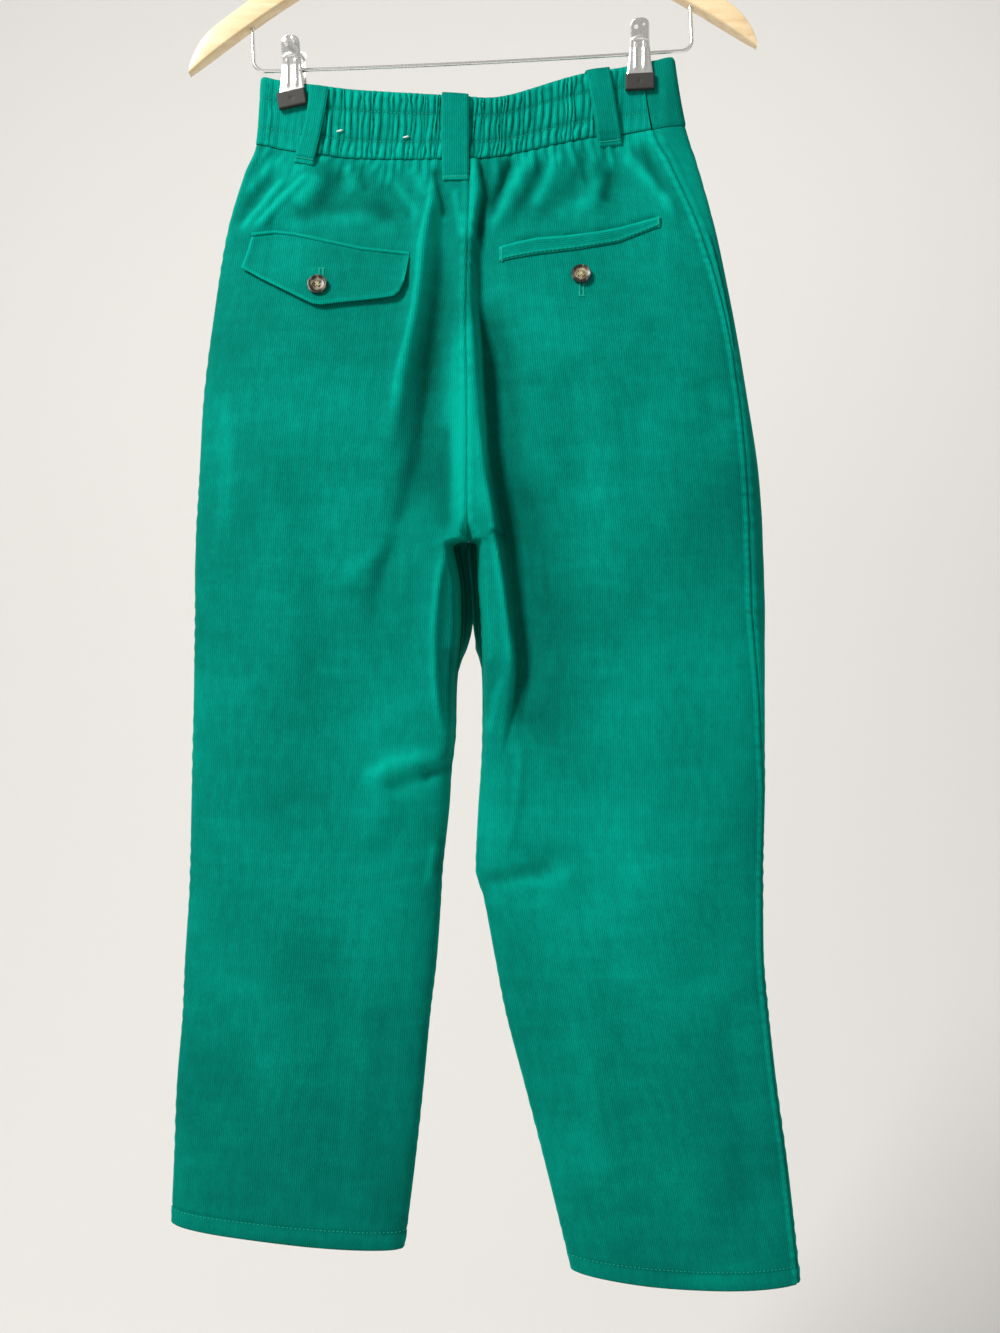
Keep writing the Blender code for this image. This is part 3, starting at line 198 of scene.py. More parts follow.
# Creases finer than the solids carry: pressed-in bends of the pile
BACK_CREASES = folds(
    # Edge of the deep fold right of the centre seam
    (2, 2.8, 1.2, 11, 118, 11, 137, 12, 158, 13, 175, 15, 200, 16, 227, 18, 258, 19, 281, 22, 304, 25, 327,
     29, 351, 32, 374, 35, 393, 38, 412, 40, 431, 42, 447, 41, 462, 39, 478, 35, 497, 30, 514, 26, 532),
    (-7, 1.6, 14, 13, 158, 16, 185, 18, 212, 19, 235, 21, 258, 22, 281, 24, 304, 28, 327, 31, 351, 35, 374,
     38, 397, 41, 420, 44, 439, 44, 458, 41, 478, 36, 501),
    (-2.5, 2.5, 26, 25, 297, 30, 327, 36, 358, 42, 389, 47, 420, 52, 447, 52, 474, 46, 497, 40, 516),
    (-3.4, 1.5, 4, 13, 50, 16, 64, 19, 80, 16, 94, 14, 108, 13, 122),
    (2.4, 4, 1.8, 7, 47, 13, 60, 14, 77, 12, 93, 9, 108, 9, 126),
    # Ridge and valleys left of it
    (3.1, 1.7, 7, -22, 56, -21, 73, -23, 93, -27, 110, -30, 127, -31, 150, -34, 173, -38, 195, -43, 214,
     -48, 237, -51, 262),
    (-2.6, 8, 9, -14, 116, -18, 166, -22, 212, -25, 258, -27, 297, -24, 335),
    (-2.6, 1.4, 4, -20, 60, -18, 73, -15, 86, -12, 103),
    (1.4, 2, 2.4, -4, 76, -1, 96, 3, 123),
    (3, 11, 9, 10, 175, 8, 200, 7, 227, 7, 274, 7, 320, 6, 357),
    (-2.4, 7, 4, -10, 258, -9, 289, -8, 324, -8, 351),
    # Pleats right of the centre, below the band
    (-2.2, 3, 3, 41, 49, 35, 66, 29, 85, 24, 104),
    (1.9, 3, 3.4, 59, 46, 49, 62, 39, 78, 32, 93, 23, 116),
    (-1.1, 3, 4, 67, 47, 60, 67, 51, 85, 41, 100),
    (1.8, 3, 4, 82, 46, 72, 62, 66, 77, 56, 95),
    (-0.9, 4, 5, 96, 56, 85, 76, 71, 91, 60, 104),
    (1.5, 4, 4, 113, 61, 108, 76, 104, 88, 88, 90, 74, 103),
    (-1.4, 1.5, 3, 93, 40, 96, 52, 97, 64, 100, 76),
    (-2, 4, 4, 120, 58, 116, 73, 113, 89),
    (2.2, 3.5, 3, 125, 43, 137, 56, 150, 70, 162, 87, 170, 104),
    (-2, 4, 4, 134, 36, 146, 50, 156, 67, 163, 86),
    # Pleats left of the centre
    (2.8, 2.4, 2.4, -116, 60, -131, 76, -141, 86, -151, 100, -162, 111),
    (2.5, 2.4, 2.4, -135, 63, -145, 76, -155, 90, -164, 100, -170, 112),
    (-1.5, 4, 4, -147, 61, -158, 76, -168, 95, -172, 106),
    (2, 3, 4, -138, 49, -150, 60, -160, 70, -167, 81),
    (-2, 6, 6, -95, 55, -100, 72, -114, 93, -129, 103),
    (2, 5, 6, -109, 63, -117, 76, -128, 91),
    (-1.2, 6, 5, -109, 94, -81, 87, -57, 94, -46, 107),
    (1.2, 5, 5, -138, 107, -104, 100, -68, 104, -43, 118),
    (1.8, 4, 3, -60, 58, -50, 76, -37, 93, -28, 107),
    (-1.8, 2.5, 3, -57, 56, -53, 76, -42, 93, -35, 106),
    (1.6, 3, 3, -40, 61, -32, 70, -24, 86),
    (-1.6, 3, 3, -80, 56, -75, 70, -71, 81),
    (1.4, 3, 3, -88, 56, -85, 69, -83, 81),
    # Left leg: inseam ridge, its facet and the fold behind the knee
    (1.7, 2.4, 1.2, -6, 351, -11, 360, -14, 372, -17, 393, -19, 416, -19, 435, -19, 455, -17, 474, -14, 491,
     -11, 511),
    (-0.7, 4, 4, -6, 378, -8, 412, -8, 443, -8, 474, -6, 501),
    (-1, 3, 4, -11, 431, -4, 447, -1, 466),
    (1.3, 8, 3.4, -77, 537, -54, 523, -32, 518, -11, 522, 0, 523),
    (-2.2, 2.6, 6.5, -32, 536, -24, 532, -15, 528, -6, 526, 2, 523),
    (-1.4, 2, 3, -13, 580, -16, 595, -19, 612),
    (1.2, 3, 3, -18, 583, -21, 599, -24, 620),
    # Right leg: facets inside the ridge and the fold below the knee
    (1.2, 3, 1.6, 40, 457, 33, 463, 29, 472, 26, 486, 23, 503),
    (-1, 4, 4, 22, 439, 25, 455, 23, 474, 21, 493),
    (0.6, 3, 2, 40, 499, 46, 509, 46, 529, 43, 547, 40, 570, 35, 595),
    (-0.6, 3, 3, 38, 511, 40, 532, 39, 555, 35, 578),
    (1.4, 7, 4, 16, 619, 31, 619, 58, 615, 93, 608),
    (-1.4, 5, 4, 14, 612, 31, 612, 54, 605, 77, 599),
    # Presses and handling marks across the legs
    (0.35, 2, 3, 16, 194, 39, 193, 66, 189),
    (-0.35, 2, 3.5, 29, 235, 48, 233, 71, 232),
    (-0.35, 2, 3.5, 31, 325, 56, 321, 77, 322),
    (0.3, 2, 3, 66, 377, 86, 372, 116, 368),
    (-0.35, 2.5, 4, 63, 428, 89, 425, 125, 428),
    (-0.4, 3, 5, -122, 386, -92, 391, -61, 395),
    (-0.4, 4, 4, 153, 179, 146, 190, 134, 204),
    (-0.5, 2, 2.5, 196, 257, 204, 256, 214, 257),
    (1, 5, 4, -40, 331, -61, 361, -92, 384),
    (-1.1, 4, 4, 52, 351, 60, 400, 70, 450),
    (0.5, 6, 6, -30, 470, -52, 488, -84, 500),
    (-0.5, 4, 5, 44, 597, 74, 591, 104, 588),
    (0.4, 5, 5, 120, 608, 160, 602, 196, 606),
    (-0.35, 5, 6, -150, 556, -120, 548, -90, 550),
    (1, 6, 5, -180, 240, -176, 300, -180, 360),
    (-0.5, 8, 8, -60, 700, -66, 780, -74, 860),
    (-0.6, 7, 7, 200, 700, 212, 790, 224, 880),
    (0.4, 6, 6, 84, 700, 98, 780, 112, 860),
)
FRONT_CREASES = folds(
    (-0.4, 4, 6, -58, 372, -90, 366, -124, 362),
    (-0.4, 4, 6, 74, 380, 110, 374, 150, 376),
    (1.2, 4, 3, -80, 62, -84, 84, -90, 112),
    (1.2, 4, 3, 76, 58, 80, 82, 88, 110),
    (-0.5, 5, 6, -150, 548, -118, 542, -84, 548),
    (-0.5, 5, 6, 96, 604, 140, 596, 190, 600),
)
# How far the flattened inside of each thigh runs from its inner edge to the crease behind: drop, width.
FACETS = {
    Half.LEFT: ((348, 6), (370, 9), (397, 17), (428, 20), (458, 18), (489, 13), (520, 10)),
    Half.RIGHT: ((348, 12), (374, 17), (423, 22), (451, 24), (497, 18), (526, 10)),
}


def ease(low: float, high: float, value: Array) -> Array:
    """Ease from 0 at low to 1 at high."""
    t = np.clip((np.asarray(value, float) - low) / (high - low), 0.0, 1.0)
    return t * t * (3.0 - 2.0 * t)


def bump(centre: float, spread: float, value: Array) -> Array:
    """Bell of height 1 round a centre."""
    return np.exp(-(((np.asarray(value, float) - centre) / spread) ** 2))


def unit(vectors: Array) -> Array:
    """Vectors scaled to length 1."""
    return vectors / np.maximum(np.linalg.norm(vectors, axis=-1, keepdims=True), 1e-9)


def between(start: float, full: float, fading: float, end: float, value: Array) -> Array:
    """Ease from 0 at start to 1 at full, and from 1 at fading back to 0 at end."""
    return ease(start, full, value) * (1.0 - ease(fading, end, value))


def run_along(points: Array) -> Array:
    """Length travelled along each row of points, from 0 at its start."""
    return np.cumsum(np.linalg.norm(np.diff(points, axis=1, prepend=points[:, :1]), axis=-1), axis=1)


def grid_normals(points: Array) -> Array:
    """Unit normals of a grid of points."""
    return unit(np.cross(np.gradient(points, axis=1), np.gradient(points, axis=0)))


def smoothed(values: Array, reach: int) -> Array:
    """Average a grid of values over its neighbours.

    Args:
        values: Rows x columns.
        reach: So many rows and columns on each side are averaged.

    Returns:
        The smoothed grid.
    """
    for axis in (0, 1):
        total = np.zeros_like(values)
        for shift in range(-reach, reach + 1):
            picked = np.clip(np.arange(values.shape[axis]) + shift, 0, values.shape[axis] - 1)
            total += np.take(values, picked, axis=axis)
        values = total / (2 * reach + 1)
    return values


def column_at(table: tuple[Section, ...], name: str, position: Array) -> Array:
    """Read one column of a section table at fractional rows, along a smooth curve.

    Args:
        table: Sections of one leg.
        name: The column's name.
        position: Fractional row numbers.

    Returns:
        The values there, without overshoot.
    """
    values = np.array([getattr(row, name) for row in table], dtype=float)
    last = len(values) - 1
    position = np.clip(position, 0.0, last)
    index = np.minimum(position.astype(int), last - 1)
    t = position - index
    before = values[np.maximum(index - 1, 0)]
    start = values[index]
    end = values[index + 1]
    after = values[np.minimum(index + 2, last)]
    step = end - start
    slope_in, slope_out = (
        np.where(slope * step > 0, np.minimum(np.abs(slope), 3 * np.abs(step)), 0.0) * np.sign(step)
        for slope in (0.5 * (end - before), 0.5 * (after - start)))
    return ((2 * t**3 - 3 * t**2 + 1) * start + (t**3 - 2 * t**2 + t) * slope_in
            + (-2 * t**3 + 3 * t**2) * end + (t**3 - t**2) * slope_out)


def centre_line(drop: Array, rows: tuple[Section, ...] = LEFT) -> Array:
    """x of the centre seam at a drop, followed down the left leg's inner edge."""
    return np.interp(drop, [row.in_drop for row in rows], [row.in_x for row in rows])


def relief(shapes: tuple[Fold, ...], x: Array, drop: Array) -> Array:
    """Sum the heights of folds over points.

    Args:
        shapes: The folds.
        x: Points' x in millimetres.
        drop: Points' drops.

    Returns:
        Height of the cloth above its plain form.
    """
    total = np.zeros_like(x)
    for fold in shapes:
        path = np.array(fold.path, dtype=float).reshape(-1, 2)
        lengths = np.hypot(*(path[1:] - path[:-1]).T)
        travelled = np.concatenate(([0.0], np.cumsum(lengths)))
        reach_out = FOLD_REACH * max(fold.left, fold.right)
        near = ((x > path[:, 0].min() - reach_out) & (x < path[:, 0].max() + reach_out)
                & (drop > path[:, 1].min() - reach_out) & (drop < path[:, 1].max() + reach_out))
        if not near.any():
            continue
        here_x = x[near]
        here_drop = drop[near]
        nearest = np.full_like(here_x, 1e9)
        side = np.zeros_like(here_x)
        along = np.zeros_like(here_x)
        for start, end, length, run in zip(path[:-1], path[1:], lengths, travelled[:-1]):
            way = (end - start) / length
            share = np.clip((here_x - start[0]) * way[0] + (here_drop - start[1]) * way[1], 0.0, length)
            off_x = here_x - start[0] - way[0] * share
            off_drop = here_drop - start[1] - way[1] * share
            distance = np.hypot(off_x, off_drop)
            closer = distance < nearest
            nearest = np.where(closer, distance, nearest)
            side = np.where(closer, off_x * way[1] - off_drop * way[0], side)
            along = np.where(closer, run + share, along)
        spread = np.where(side > 0, fold.right, fold.left)
        reach = along / travelled[-1]
        taper = between(0.0, 0.18, 0.80, 1.0, reach)
        total[near] += fold.height * taper * np.exp(-0.5 * (nearest / spread) ** 2)
    return total


@dataclass(frozen=True)
class ClothForm:
    """Middle surface of the trousers' cloth as they hang, in millimetres."""

    waist_line: float = 232.0
    roundness: float = 2.6
    crotch: int = 9
    crotch_drop: float = 348.5
    fork_start: float = 300.0
    fork_sharpness: float = 5.0
    inner_edge: float = 6.0
    facet_rise: float = 0.08
    leg_round: tuple[float, float] = (470.0, 570.0)
    legs_touch: tuple[float, float] = (400.0, 480.0)
    waist_fold: float = 3.5
    clip_x: tuple[float, float] = (-131.1, 141.0)
    clip_yaw: tuple[float, float] = (5.0, 6.0)
    clip_flat: float = 13.0
    pinch: float = 2.3
    gape: tuple[float, float] = (9.5, 7.0)
    hip_blend: tuple[float, float] = (38.0, 205.0)
    side_bulge: float = 1.3
    band_seam: tuple[tuple[float, float], ...] = ((-160, 38), (-62, 52), (7, 54), (46, 49), (93, 37),
                                                  (176, 24))
    pucker_pitch: float = 6.6
    pucker_height: float = 1.6
    sway_height: float = 0.35
    folds_from: float = 45.0
    fold_room: float = 14.0
    crease_room: float = 5.0
    halvings: int = 34
    tangent_step: float = 1.2
    swell_width: float = 18.0
    stitch_stand: float = 1.05

    def waist_depth(self, x: Array, gape: Array) -> Array:
        """Half depth of the pinched waist: least at the clips, widest halfway between them.

        Args:
            x: Points' x.
            gape: How much deeper it is halfway between the clips.

        Returns:
            The half depths.
        """
        start = self.clip_x[0] + self.clip_flat
        end = self.clip_x[1] - self.clip_flat
        share = np.clip((x - start) / (end - start), 0.0, 1.0)
        beyond = np.maximum(self.clip_x[0] - x, x - self.clip_x[1])
        bulge = self.side_bulge * ease(self.clip_flat, self.clip_flat + 8.0, beyond)
        return self.pinch + gape * np.sin(math.pi * share) ** 1.2 + bulge

    def clip_lean(self, x: Array) -> Array:
        """How far the pinched waist leans back or forward beside each clip, which turns it.

        Args:
            x: Points' x.

        Returns:
            Shifts in y.
        """
        lean = np.zeros_like(x)
        for clip_x, yaw in zip(self.clip_x, self.clip_yaw):
            away = x - clip_x
            fade = 1.0 - ease(self.clip_flat, 3.0 * self.clip_flat, np.abs(away))
            lean -= math.tan(math.radians(yaw)) * away * fade
        return lean

    def from_clips(self, x: Array) -> Array:
        """Distance from the nearer clip's middle."""
        return np.minimum(np.abs(x - self.clip_x[0]), np.abs(x - self.clip_x[1]))

    def row_drop(self, half: Half, position: Array, share: Array) -> Array:
        """Drop along a row.

        Args:
            half: Which leg.
            position: Fractional section number.
            share: Share of the way from the side to the inner edge.

        Returns:
            The drops.
        """
        out_drop, in_drop, sag, dip = (column_at(TABLES[half], name, position)
                                       for name in ("out_drop", "in_drop", "sag", "dip"))
        return (out_drop + (in_drop - out_drop) * share + sag * np.sin(math.pi * share)
                + dip * np.sin(math.pi * share**3))

    def turn_of(self, share: Array) -> Array:
        """Angle round a leg at a share of the way from its side to its inner edge."""
        cosine = 1.0 - 2.0 * np.clip(share, 0.0, 1.0)
        return np.arccos(np.sign(cosine) * np.abs(cosine) ** (self.roundness / 2.0))

    def puckers(self) -> tuple[Fold, ...]:
        """Short pleats that leave the gathered band, uneven in length, depth and spacing.

        Returns:
            The pleats, from left to right.
        """
        rng = np.random.default_rng(SEED)
        made = []
        x = -150.0
        while x < 150.0:
            low = np.interp(x, *zip(*self.band_seam))
            length = rng.uniform(9.0, 30.0)
            drift = 0.05 * (x - 7.0) + rng.uniform(-3.0, 3.0)
            height = self.pucker_height * rng.uniform(0.5, 1.25)
            spread = rng.uniform(1.7, 2.6)
            path = (x, low - 22.0, x, low + 4.0, x + drift, low + length)
            made.append(Fold(height, spread, 0.7 * spread, path))
            x += self.pucker_pitch * rng.uniform(0.7, 1.35)
        return tuple(made)

    def creases(self, behind: Array, x: Array, drop: Array) -> Array:
        """Height of the creases and puckers; behind says which points lie on the back."""
        back = relief(BACK_CREASES + self.puckers(), x, drop)
        return np.where(behind, back, relief(FRONT_CREASES, x, drop))

    def sway(self, x: Array, drop: Array) -> Array:
        """Slight unevenness of the hanging cloth."""
        return (self.sway_height * np.sin(x / 17.0 + 2.1 * np.sin(drop / 61.0))
                * np.sin(drop / 43.0 + 1.3 * np.sin(x / 52.0)))

    def surface(self, half: Half, turn: Array, position: Array, folded: bool = True,
                fine: bool = False) -> Array:
        """Middle of the cloth wall.

        Args:
            half: Which leg.
            turn: Angle round it: 0 at the side silhouette, -pi and pi at the inner edge, below 0 on
                the back.
            position: Fractional section number, from waist to hem.
            folded: Whether the folds are added.
            fine: Whether the creases and puckers are added too.

        Returns:
            Points as x, y, z in millimetres.
        """
        turn, position = np.broadcast_arrays(np.asarray(turn, float), np.asarray(position, float))
        out_x, in_x, in_drop = (column_at(TABLES[half], name, position)
                                for name in ("out_x", "in_x", "in_drop"))
        power = 2.0 / self.roundness
        cosine = np.cos(turn)
        share = 0.5 - 0.5 * np.sign(cosine) * np.abs(cosine) ** power
        x = out_x + (in_x - out_x) * share
        drop = self.row_drop(half, position, share)

        rise = np.abs(np.sin(turn)) ** power
        from_inside = np.abs(in_x - x)
        edge = np.sin(0.5 * math.pi * np.clip(from_inside / self.inner_edge, 0.0, 1.0))
        facet = np.clip(from_inside / np.interp(in_drop, *zip(*FACETS[half])), 0.0, 1.0)
        saddle = (1.0 - self.facet_rise) * edge + self.facet_rise * facet
        closed = ease(*self.leg_round, in_drop) * (position >= self.crotch)
        ramp = (1.0 - closed) * saddle + closed * rise
        under = np.clip((in_drop - self.fork_start) / (self.crotch_drop - self.fork_start), 0.0, 1.0)
        left_over = np.where(position >= self.crotch, 0.0, np.cos(0.5 * math.pi * under**self.fork_sharpness))
        inner = np.sqrt(left_over**2 + (1.0 - left_over**2) * ramp**2)
        profile = np.where(share > 0.5, inner, rise)

        x = x + self.swing(half, turn, position, in_drop, from_inside)
        from_side = np.clip(np.abs(x - out_x) / self.waist_fold, 0.0, 1.0)
        waist_profile = np.sqrt(1.0 - (1.0 - from_side) ** 2)
        opened = ease(self.hip_blend[0], self.hip_blend[1], drop)
        behind = turn < 0
        drops, backs, fronts = zip(*DEPTHS)
        hip = np.where(behind, np.interp(drop, drops, backs), np.interp(drop, drops, fronts))
        waist = self.waist_depth(x, np.where(behind, self.gape[0], self.gape[1]))
        depth = (1.0 - opened) * waist * waist_profile + opened * hip * profile
        if folded:
            shown = ease(0.0, self.fold_room, depth) * (drop > self.folds_from)
            raised = np.where(behind, relief(BACK_FOLDS, x, drop), relief(FRONT_FOLDS, x, drop))
            depth = depth + raised * shown
        if fine:
            small = self.creases(behind, x, drop) + self.sway(x, drop)
            free = ease(6.0, 24.0, self.from_clips(x) + 0.6 * (drop - 40.0))
            depth = depth + small * ease(0.0, self.crease_room, depth) * free
        y = np.where(behind, -depth, depth) + (1.0 - opened) * self.clip_lean(x)
        return np.stack([x, y, -(self.waist_line + drop)], axis=-1)

    def swing(self, half: Half, turn: Array, position: Array, in_drop: Array,
              from_inside: Array) -> Array:
        """How far the front of a thigh swells towards the other one, just below the crotch.

        Args:
            half: Which leg.
            turn: Angle round it.
            position: Section number.
            in_drop: Drop of the row's inner edge.
            from_inside: Distance from that edge.

        Returns:
            Shift in x.
        """
        room = 0.5 * np.abs(column_at(RIGHT, "in_x", position) - column_at(LEFT, "in_x", position))
        closing = (1.0 - ease(*self.legs_touch, in_drop)) * ((position >= self.crotch) & (turn > 0))
        reach = closing * (1.25 * room + 9.0 * ease(0.0, 4.0, room))
        swell = reach * np.sin(math.pi * np.clip(from_inside / self.swell_width, 0.0, 1.0))
        return swell if half is Half.LEFT else -swell

    def seam_turn(self, half: Half, position: Array) -> Array:
        """Turn of the side seam, at the silhouette or round on the back."""
        in_x, out_x, seam = (column_at(TABLES[half], name, position) for name in ("in_x", "out_x", "seam"))
        return -self.turn_of(seam / np.abs(in_x - out_x))

    def spot(self, x: Array, drop: Array, side: Side, fine: bool = True) -> Array:
        """Middle of the cloth at x and drop, on one side.

        Args:
            x: x in millimetres.
            drop: Drops.
            side: Back or front.
            fine: Whether the creases are followed.

        Returns:
            Points, x by 3.
        """
        x, drop = np.broadcast_arrays(np.asarray(x, float), np.asarray(drop, float))
        centre = centre_line(drop, LEFT[:self.crotch])
        points = np.zeros(x.shape + (3,))
        for half, chosen in ((Half.LEFT, x <= centre), (Half.RIGHT, x > centre)):
            if not chosen.any():
                continue
            here = x[chosen]
            low = np.zeros_like(here)
            high = np.full_like(here, float(len(TABLES[half]) - 1))
            for _ in range(self.halvings):
                middle = 0.5 * (low + high)
                out_x, in_x = (column_at(TABLES[half], name, middle) for name in ("out_x", "in_x"))
                share = np.clip((here - out_x) / (in_x - out_x), 0.0, 1.0)
                there = self.row_drop(half, middle, share)
                low = np.where(there < drop[chosen], middle, low)
                high = np.where(there < drop[chosen], high, middle)
            angle = side.value * self.turn_of(share)
            points[chosen] = self.surface(half, angle, middle, fine=fine)
        return points

    def on_cloth(self, x: Array, drop: Array, offset: Array, side: Side = Side.BACK,
                 fine: bool = True) -> Array:
        """Points at x and drop, moved out by an offset from the middle of the cloth.

        Args:
            x: x in millimetres.
            drop: Drops.
            offset: Distance outwards.
            side: Back or front.
            fine: Whether the creases are followed.

        Returns:
            Points in millimetres.
        """
        x, drop, offset = np.broadcast_arrays(np.asarray(x, float), np.asarray(drop, float),
                                              np.asarray(offset, float))
        return self.spot(x, drop, side, fine) + self.facing(x, drop, side, fine) * offset[..., None]

    def facing(self, x: Array, drop: Array, side: Side, fine: bool = True) -> Array:
        """Outward direction of the cloth at x and drop.

        Args:
            x: x in millimetres.
            drop: Drops.
            side: Back or front.
            fine: Whether the creases are followed.

        Returns:
            Unit vectors.
        """
        step = self.tangent_step
        across = self.spot(x + step, drop, side, fine) - self.spot(x - step, drop, side, fine)
        down = self.spot(x, drop + step, side, fine) - self.spot(x, drop - step, side, fine)
        normal = unit(np.cross(across, down))
        return normal * (np.sign(normal[..., 1:2]) * side.value)

    def on_face(self, x: Array, drop: Array, side: Side) -> tuple[Array, Array]:
        """Stitches' places on the face of a panel, and the way out of the cloth at each."""
        return self.on_cloth(x, drop, self.stitch_stand, side), self.facing(x, drop, side)


FORM = ClothForm()


# ------------------------------
# Mesh helpers


def mesh_from(bm: bmesh.types.BMesh, name: str) -> Mesh:
    """Write a bmesh to a new mesh and free it.

    Args:
        bm: The bmesh.
        name: The mesh's name.

    Returns:
        The mesh.
    """
    mesh = bpy.data.meshes.new(name)
    bm.to_mesh(mesh)
    bm.free()
    return mesh


def shade(mesh: Mesh, angle: float) -> None:
    """Shade a mesh smooth, but for edges sharper than so many degrees."""
    mesh.shade_smooth()
    mesh.set_sharp_from_angle(angle=math.radians(angle))


def linked(name: str, data: bpy.types.ID) -> Object:
    """Object for a mesh, camera or lamp, linked to the scene.

    Args:
        name: The object's name.
        data: What it shows.

    Returns:
        The object, at the origin.
    """
    obj = bpy.data.objects.new(name, data)
    bpy.context.scene.collection.objects.link(obj)
    return obj


def new_object(name: str, mesh: Mesh, material: Material,
               angle: float = 50.0) -> Object:
    """Link a mesh as a smooth-shaded object at the origin.

    Args:
        name: The object's name.
        mesh: Its mesh, in metres.
        material: Its finish.
        angle: Edges sharper than this many degrees stay sharp.

    Returns:
        The object.
    """
    mesh.name = name
    shade(mesh, angle)
    mesh.materials.clear()
    mesh.materials.append(material)
    return linked(name, mesh)


def facing_out(mesh: Mesh) -> Mesh:
    """Turn a closed mesh so that its faces point outwards.

    Args:
        mesh: The mesh.

    Returns:
        The same mesh.
    """
    mesh.calc_loop_triangles()
    spots = np.empty(len(mesh.vertices) * 3)
    mesh.vertices.foreach_get("co", spots)
    corners = np.empty(len(mesh.loop_triangles) * 3, dtype=int)
    mesh.loop_triangles.foreach_get("vertices", corners)
    a, b, c = spots.reshape(-1, 3)[corners.reshape(-1, 3)].transpose(1, 0, 2)
    if np.einsum("ij,ij->i", a, np.cross(b, c)).sum() < 0:
        mesh.flip_normals()
    return mesh


def laid_mesh(layers: list[Array], uv: Array | None = None,
              wear_and_painted_light: Array | None = None) -> Mesh:
    """Lay a flat grid, or a slab with two faces, onto given points.

    Args:
        layers: One or two arrays of points, rows x columns x 3, in millimetres.
        uv: Places on the flat cloth for each row and column, in metres, or None.
        wear_and_painted_light: Per point, from -1 to 1: painted shade in hollows and painted highlight on
            crests, with some rubbed pile; or None.

    Returns:
        A mesh in metres, with a UV map if places were given.
    """
    rows, columns = layers[0].shape[:2]
    bm = bmesh.new()
    bmesh.ops.create_grid(bm, x_segments=columns - 1, y_segments=rows - 1, size=0.5)
    if len(layers) == 2:
        raised = bmesh.ops.extrude_face_region(bm, geom=bm.faces[:], use_keep_orig=True)
        lifted = [item for item in raised["geom"] if isinstance(item, bmesh.types.BMVert)]
        bmesh.ops.translate(bm, vec=(0.0, 0.0, 1.0), verts=lifted)
        bmesh.ops.recalc_face_normals(bm, faces=bm.faces)
    mesh = mesh_from(bm, "laid")
    flat = np.empty(len(mesh.vertices) * 3)
    mesh.vertices.foreach_get("co", flat)
    flat = flat.reshape(-1, 3)
    column = np.rint((flat[:, 0] + 0.5) * (columns - 1)).astype(int)
    row = np.rint((flat[:, 1] + 0.5) * (rows - 1)).astype(int)
    points = layers[0][row, column]
    if len(layers) == 2:
        points = np.where(flat[:, 2:] > 0.5, layers[1][row, column], points)
    mesh.vertices.foreach_set("co", (points * MM).ravel())
    if uv is not None:
        corner = np.empty(len(mesh.loops), dtype=int)
        mesh.loops.foreach_get("vertex_index", corner)
        mesh.uv_layers.new(name="cloth").data.foreach_set("uv", uv[row[corner], column[corner]].ravel())
    # Per-point painted shade and highlight, with some pile wear, that the cloth's colour is mixed from
    if wear_and_painted_light is not None:
        light_and_wear_layer = mesh.attributes.new("wear_and_painted_light", "FLOAT", "POINT")
        light_and_wear_layer.data.foreach_set("value", wear_and_painted_light[row, column].astype(float))
    mesh.update()
    return mesh


def cloth_wall(node: str, inner: Array, outer: Array, uv: Array, material: Material,
               wear_and_painted_light: Array | None = None) -> Object:
    """Closed wall of cloth between two equal grids of points, settled in its solid's place.

    Args:
        node: The solid that it stands for.
        inner: Points of one face, in millimetres.
        outer: Points of the other face.
        uv: Places on the flat cloth, in metres.
        material: Its finish.
        wear_and_painted_light: Painted shade and highlight for its colour, with some pile wear, or None.

    Returns:
        The object.
    """
    wall = facing_out(laid_mesh([inner, outer], uv, wear_and_painted_light))
    return settle(new_object(node + "_cloth", wall, material, 60.0), node)


def tube(name: str, rings: Array, material: Material, angle: float = 50.0) -> Object:
    """Closed solid through rings of points, with flat ends.

    Args:
        name: The object's name.
        rings: Rings x sides x 3, in millimetres.
        material: Its finish.
        angle: Edges sharper than this many degrees stay sharp.

    Returns:
        The object.
    """
    mesh = laid_mesh([np.concatenate([rings, rings[:, :1]], axis=1)])
    bm = bmesh.new()
    bm.from_mesh(mesh)
    bmesh.ops.remove_doubles(bm, verts=bm.verts, dist=1e-7)
    bmesh.ops.holes_fill(bm, edges=[edge for edge in bm.edges if edge.is_boundary], sides=0)
    bmesh.ops.recalc_face_normals(bm, faces=bm.faces)
    bm.to_mesh(mesh)
    bm.free()
    return new_object(name, facing_out(mesh), material, angle)


def wire(path: Array, radii: Array, sides: int) -> Array:
    """Round rings along a path in the x, z plane, in millimetres.

    Args:
        path: Points as x, z.
        radii: Radius at each of them.
        sides: Sides of each ring.

    Returns:
        Rings x sides x 3.
    """
    ways = unit(np.gradient(path, axis=0))
    angle = np.linspace(0.0, 2 * math.pi, sides, endpoint=False)[None, :]
    aside = radii[:, None] * np.cos(angle)
    out = radii[:, None] * np.sin(angle)
    return np.stack([path[:, :1] + ways[:, 1:] * aside, out, path[:, 1:] - ways[:, :1] * aside], axis=-1)


def arc(centre: tuple[float, float], radius: float, start: float, end: float,
        steps: int) -> list[tuple[float, float]]:
    """Points on an arc, angles in degrees from +X towards +Z."""
    angles = np.radians(np.linspace(start, end, steps))
    return [(centre[0] + radius * math.cos(a), centre[1] + radius * math.sin(a)) for a in angles]


def moved(points: Array, matrix: Matrix) -> Array:
    """Points turned and moved by a matrix in the same unit."""
    return points @ np.array(matrix.to_3x3()).T + np.array(matrix.translation)


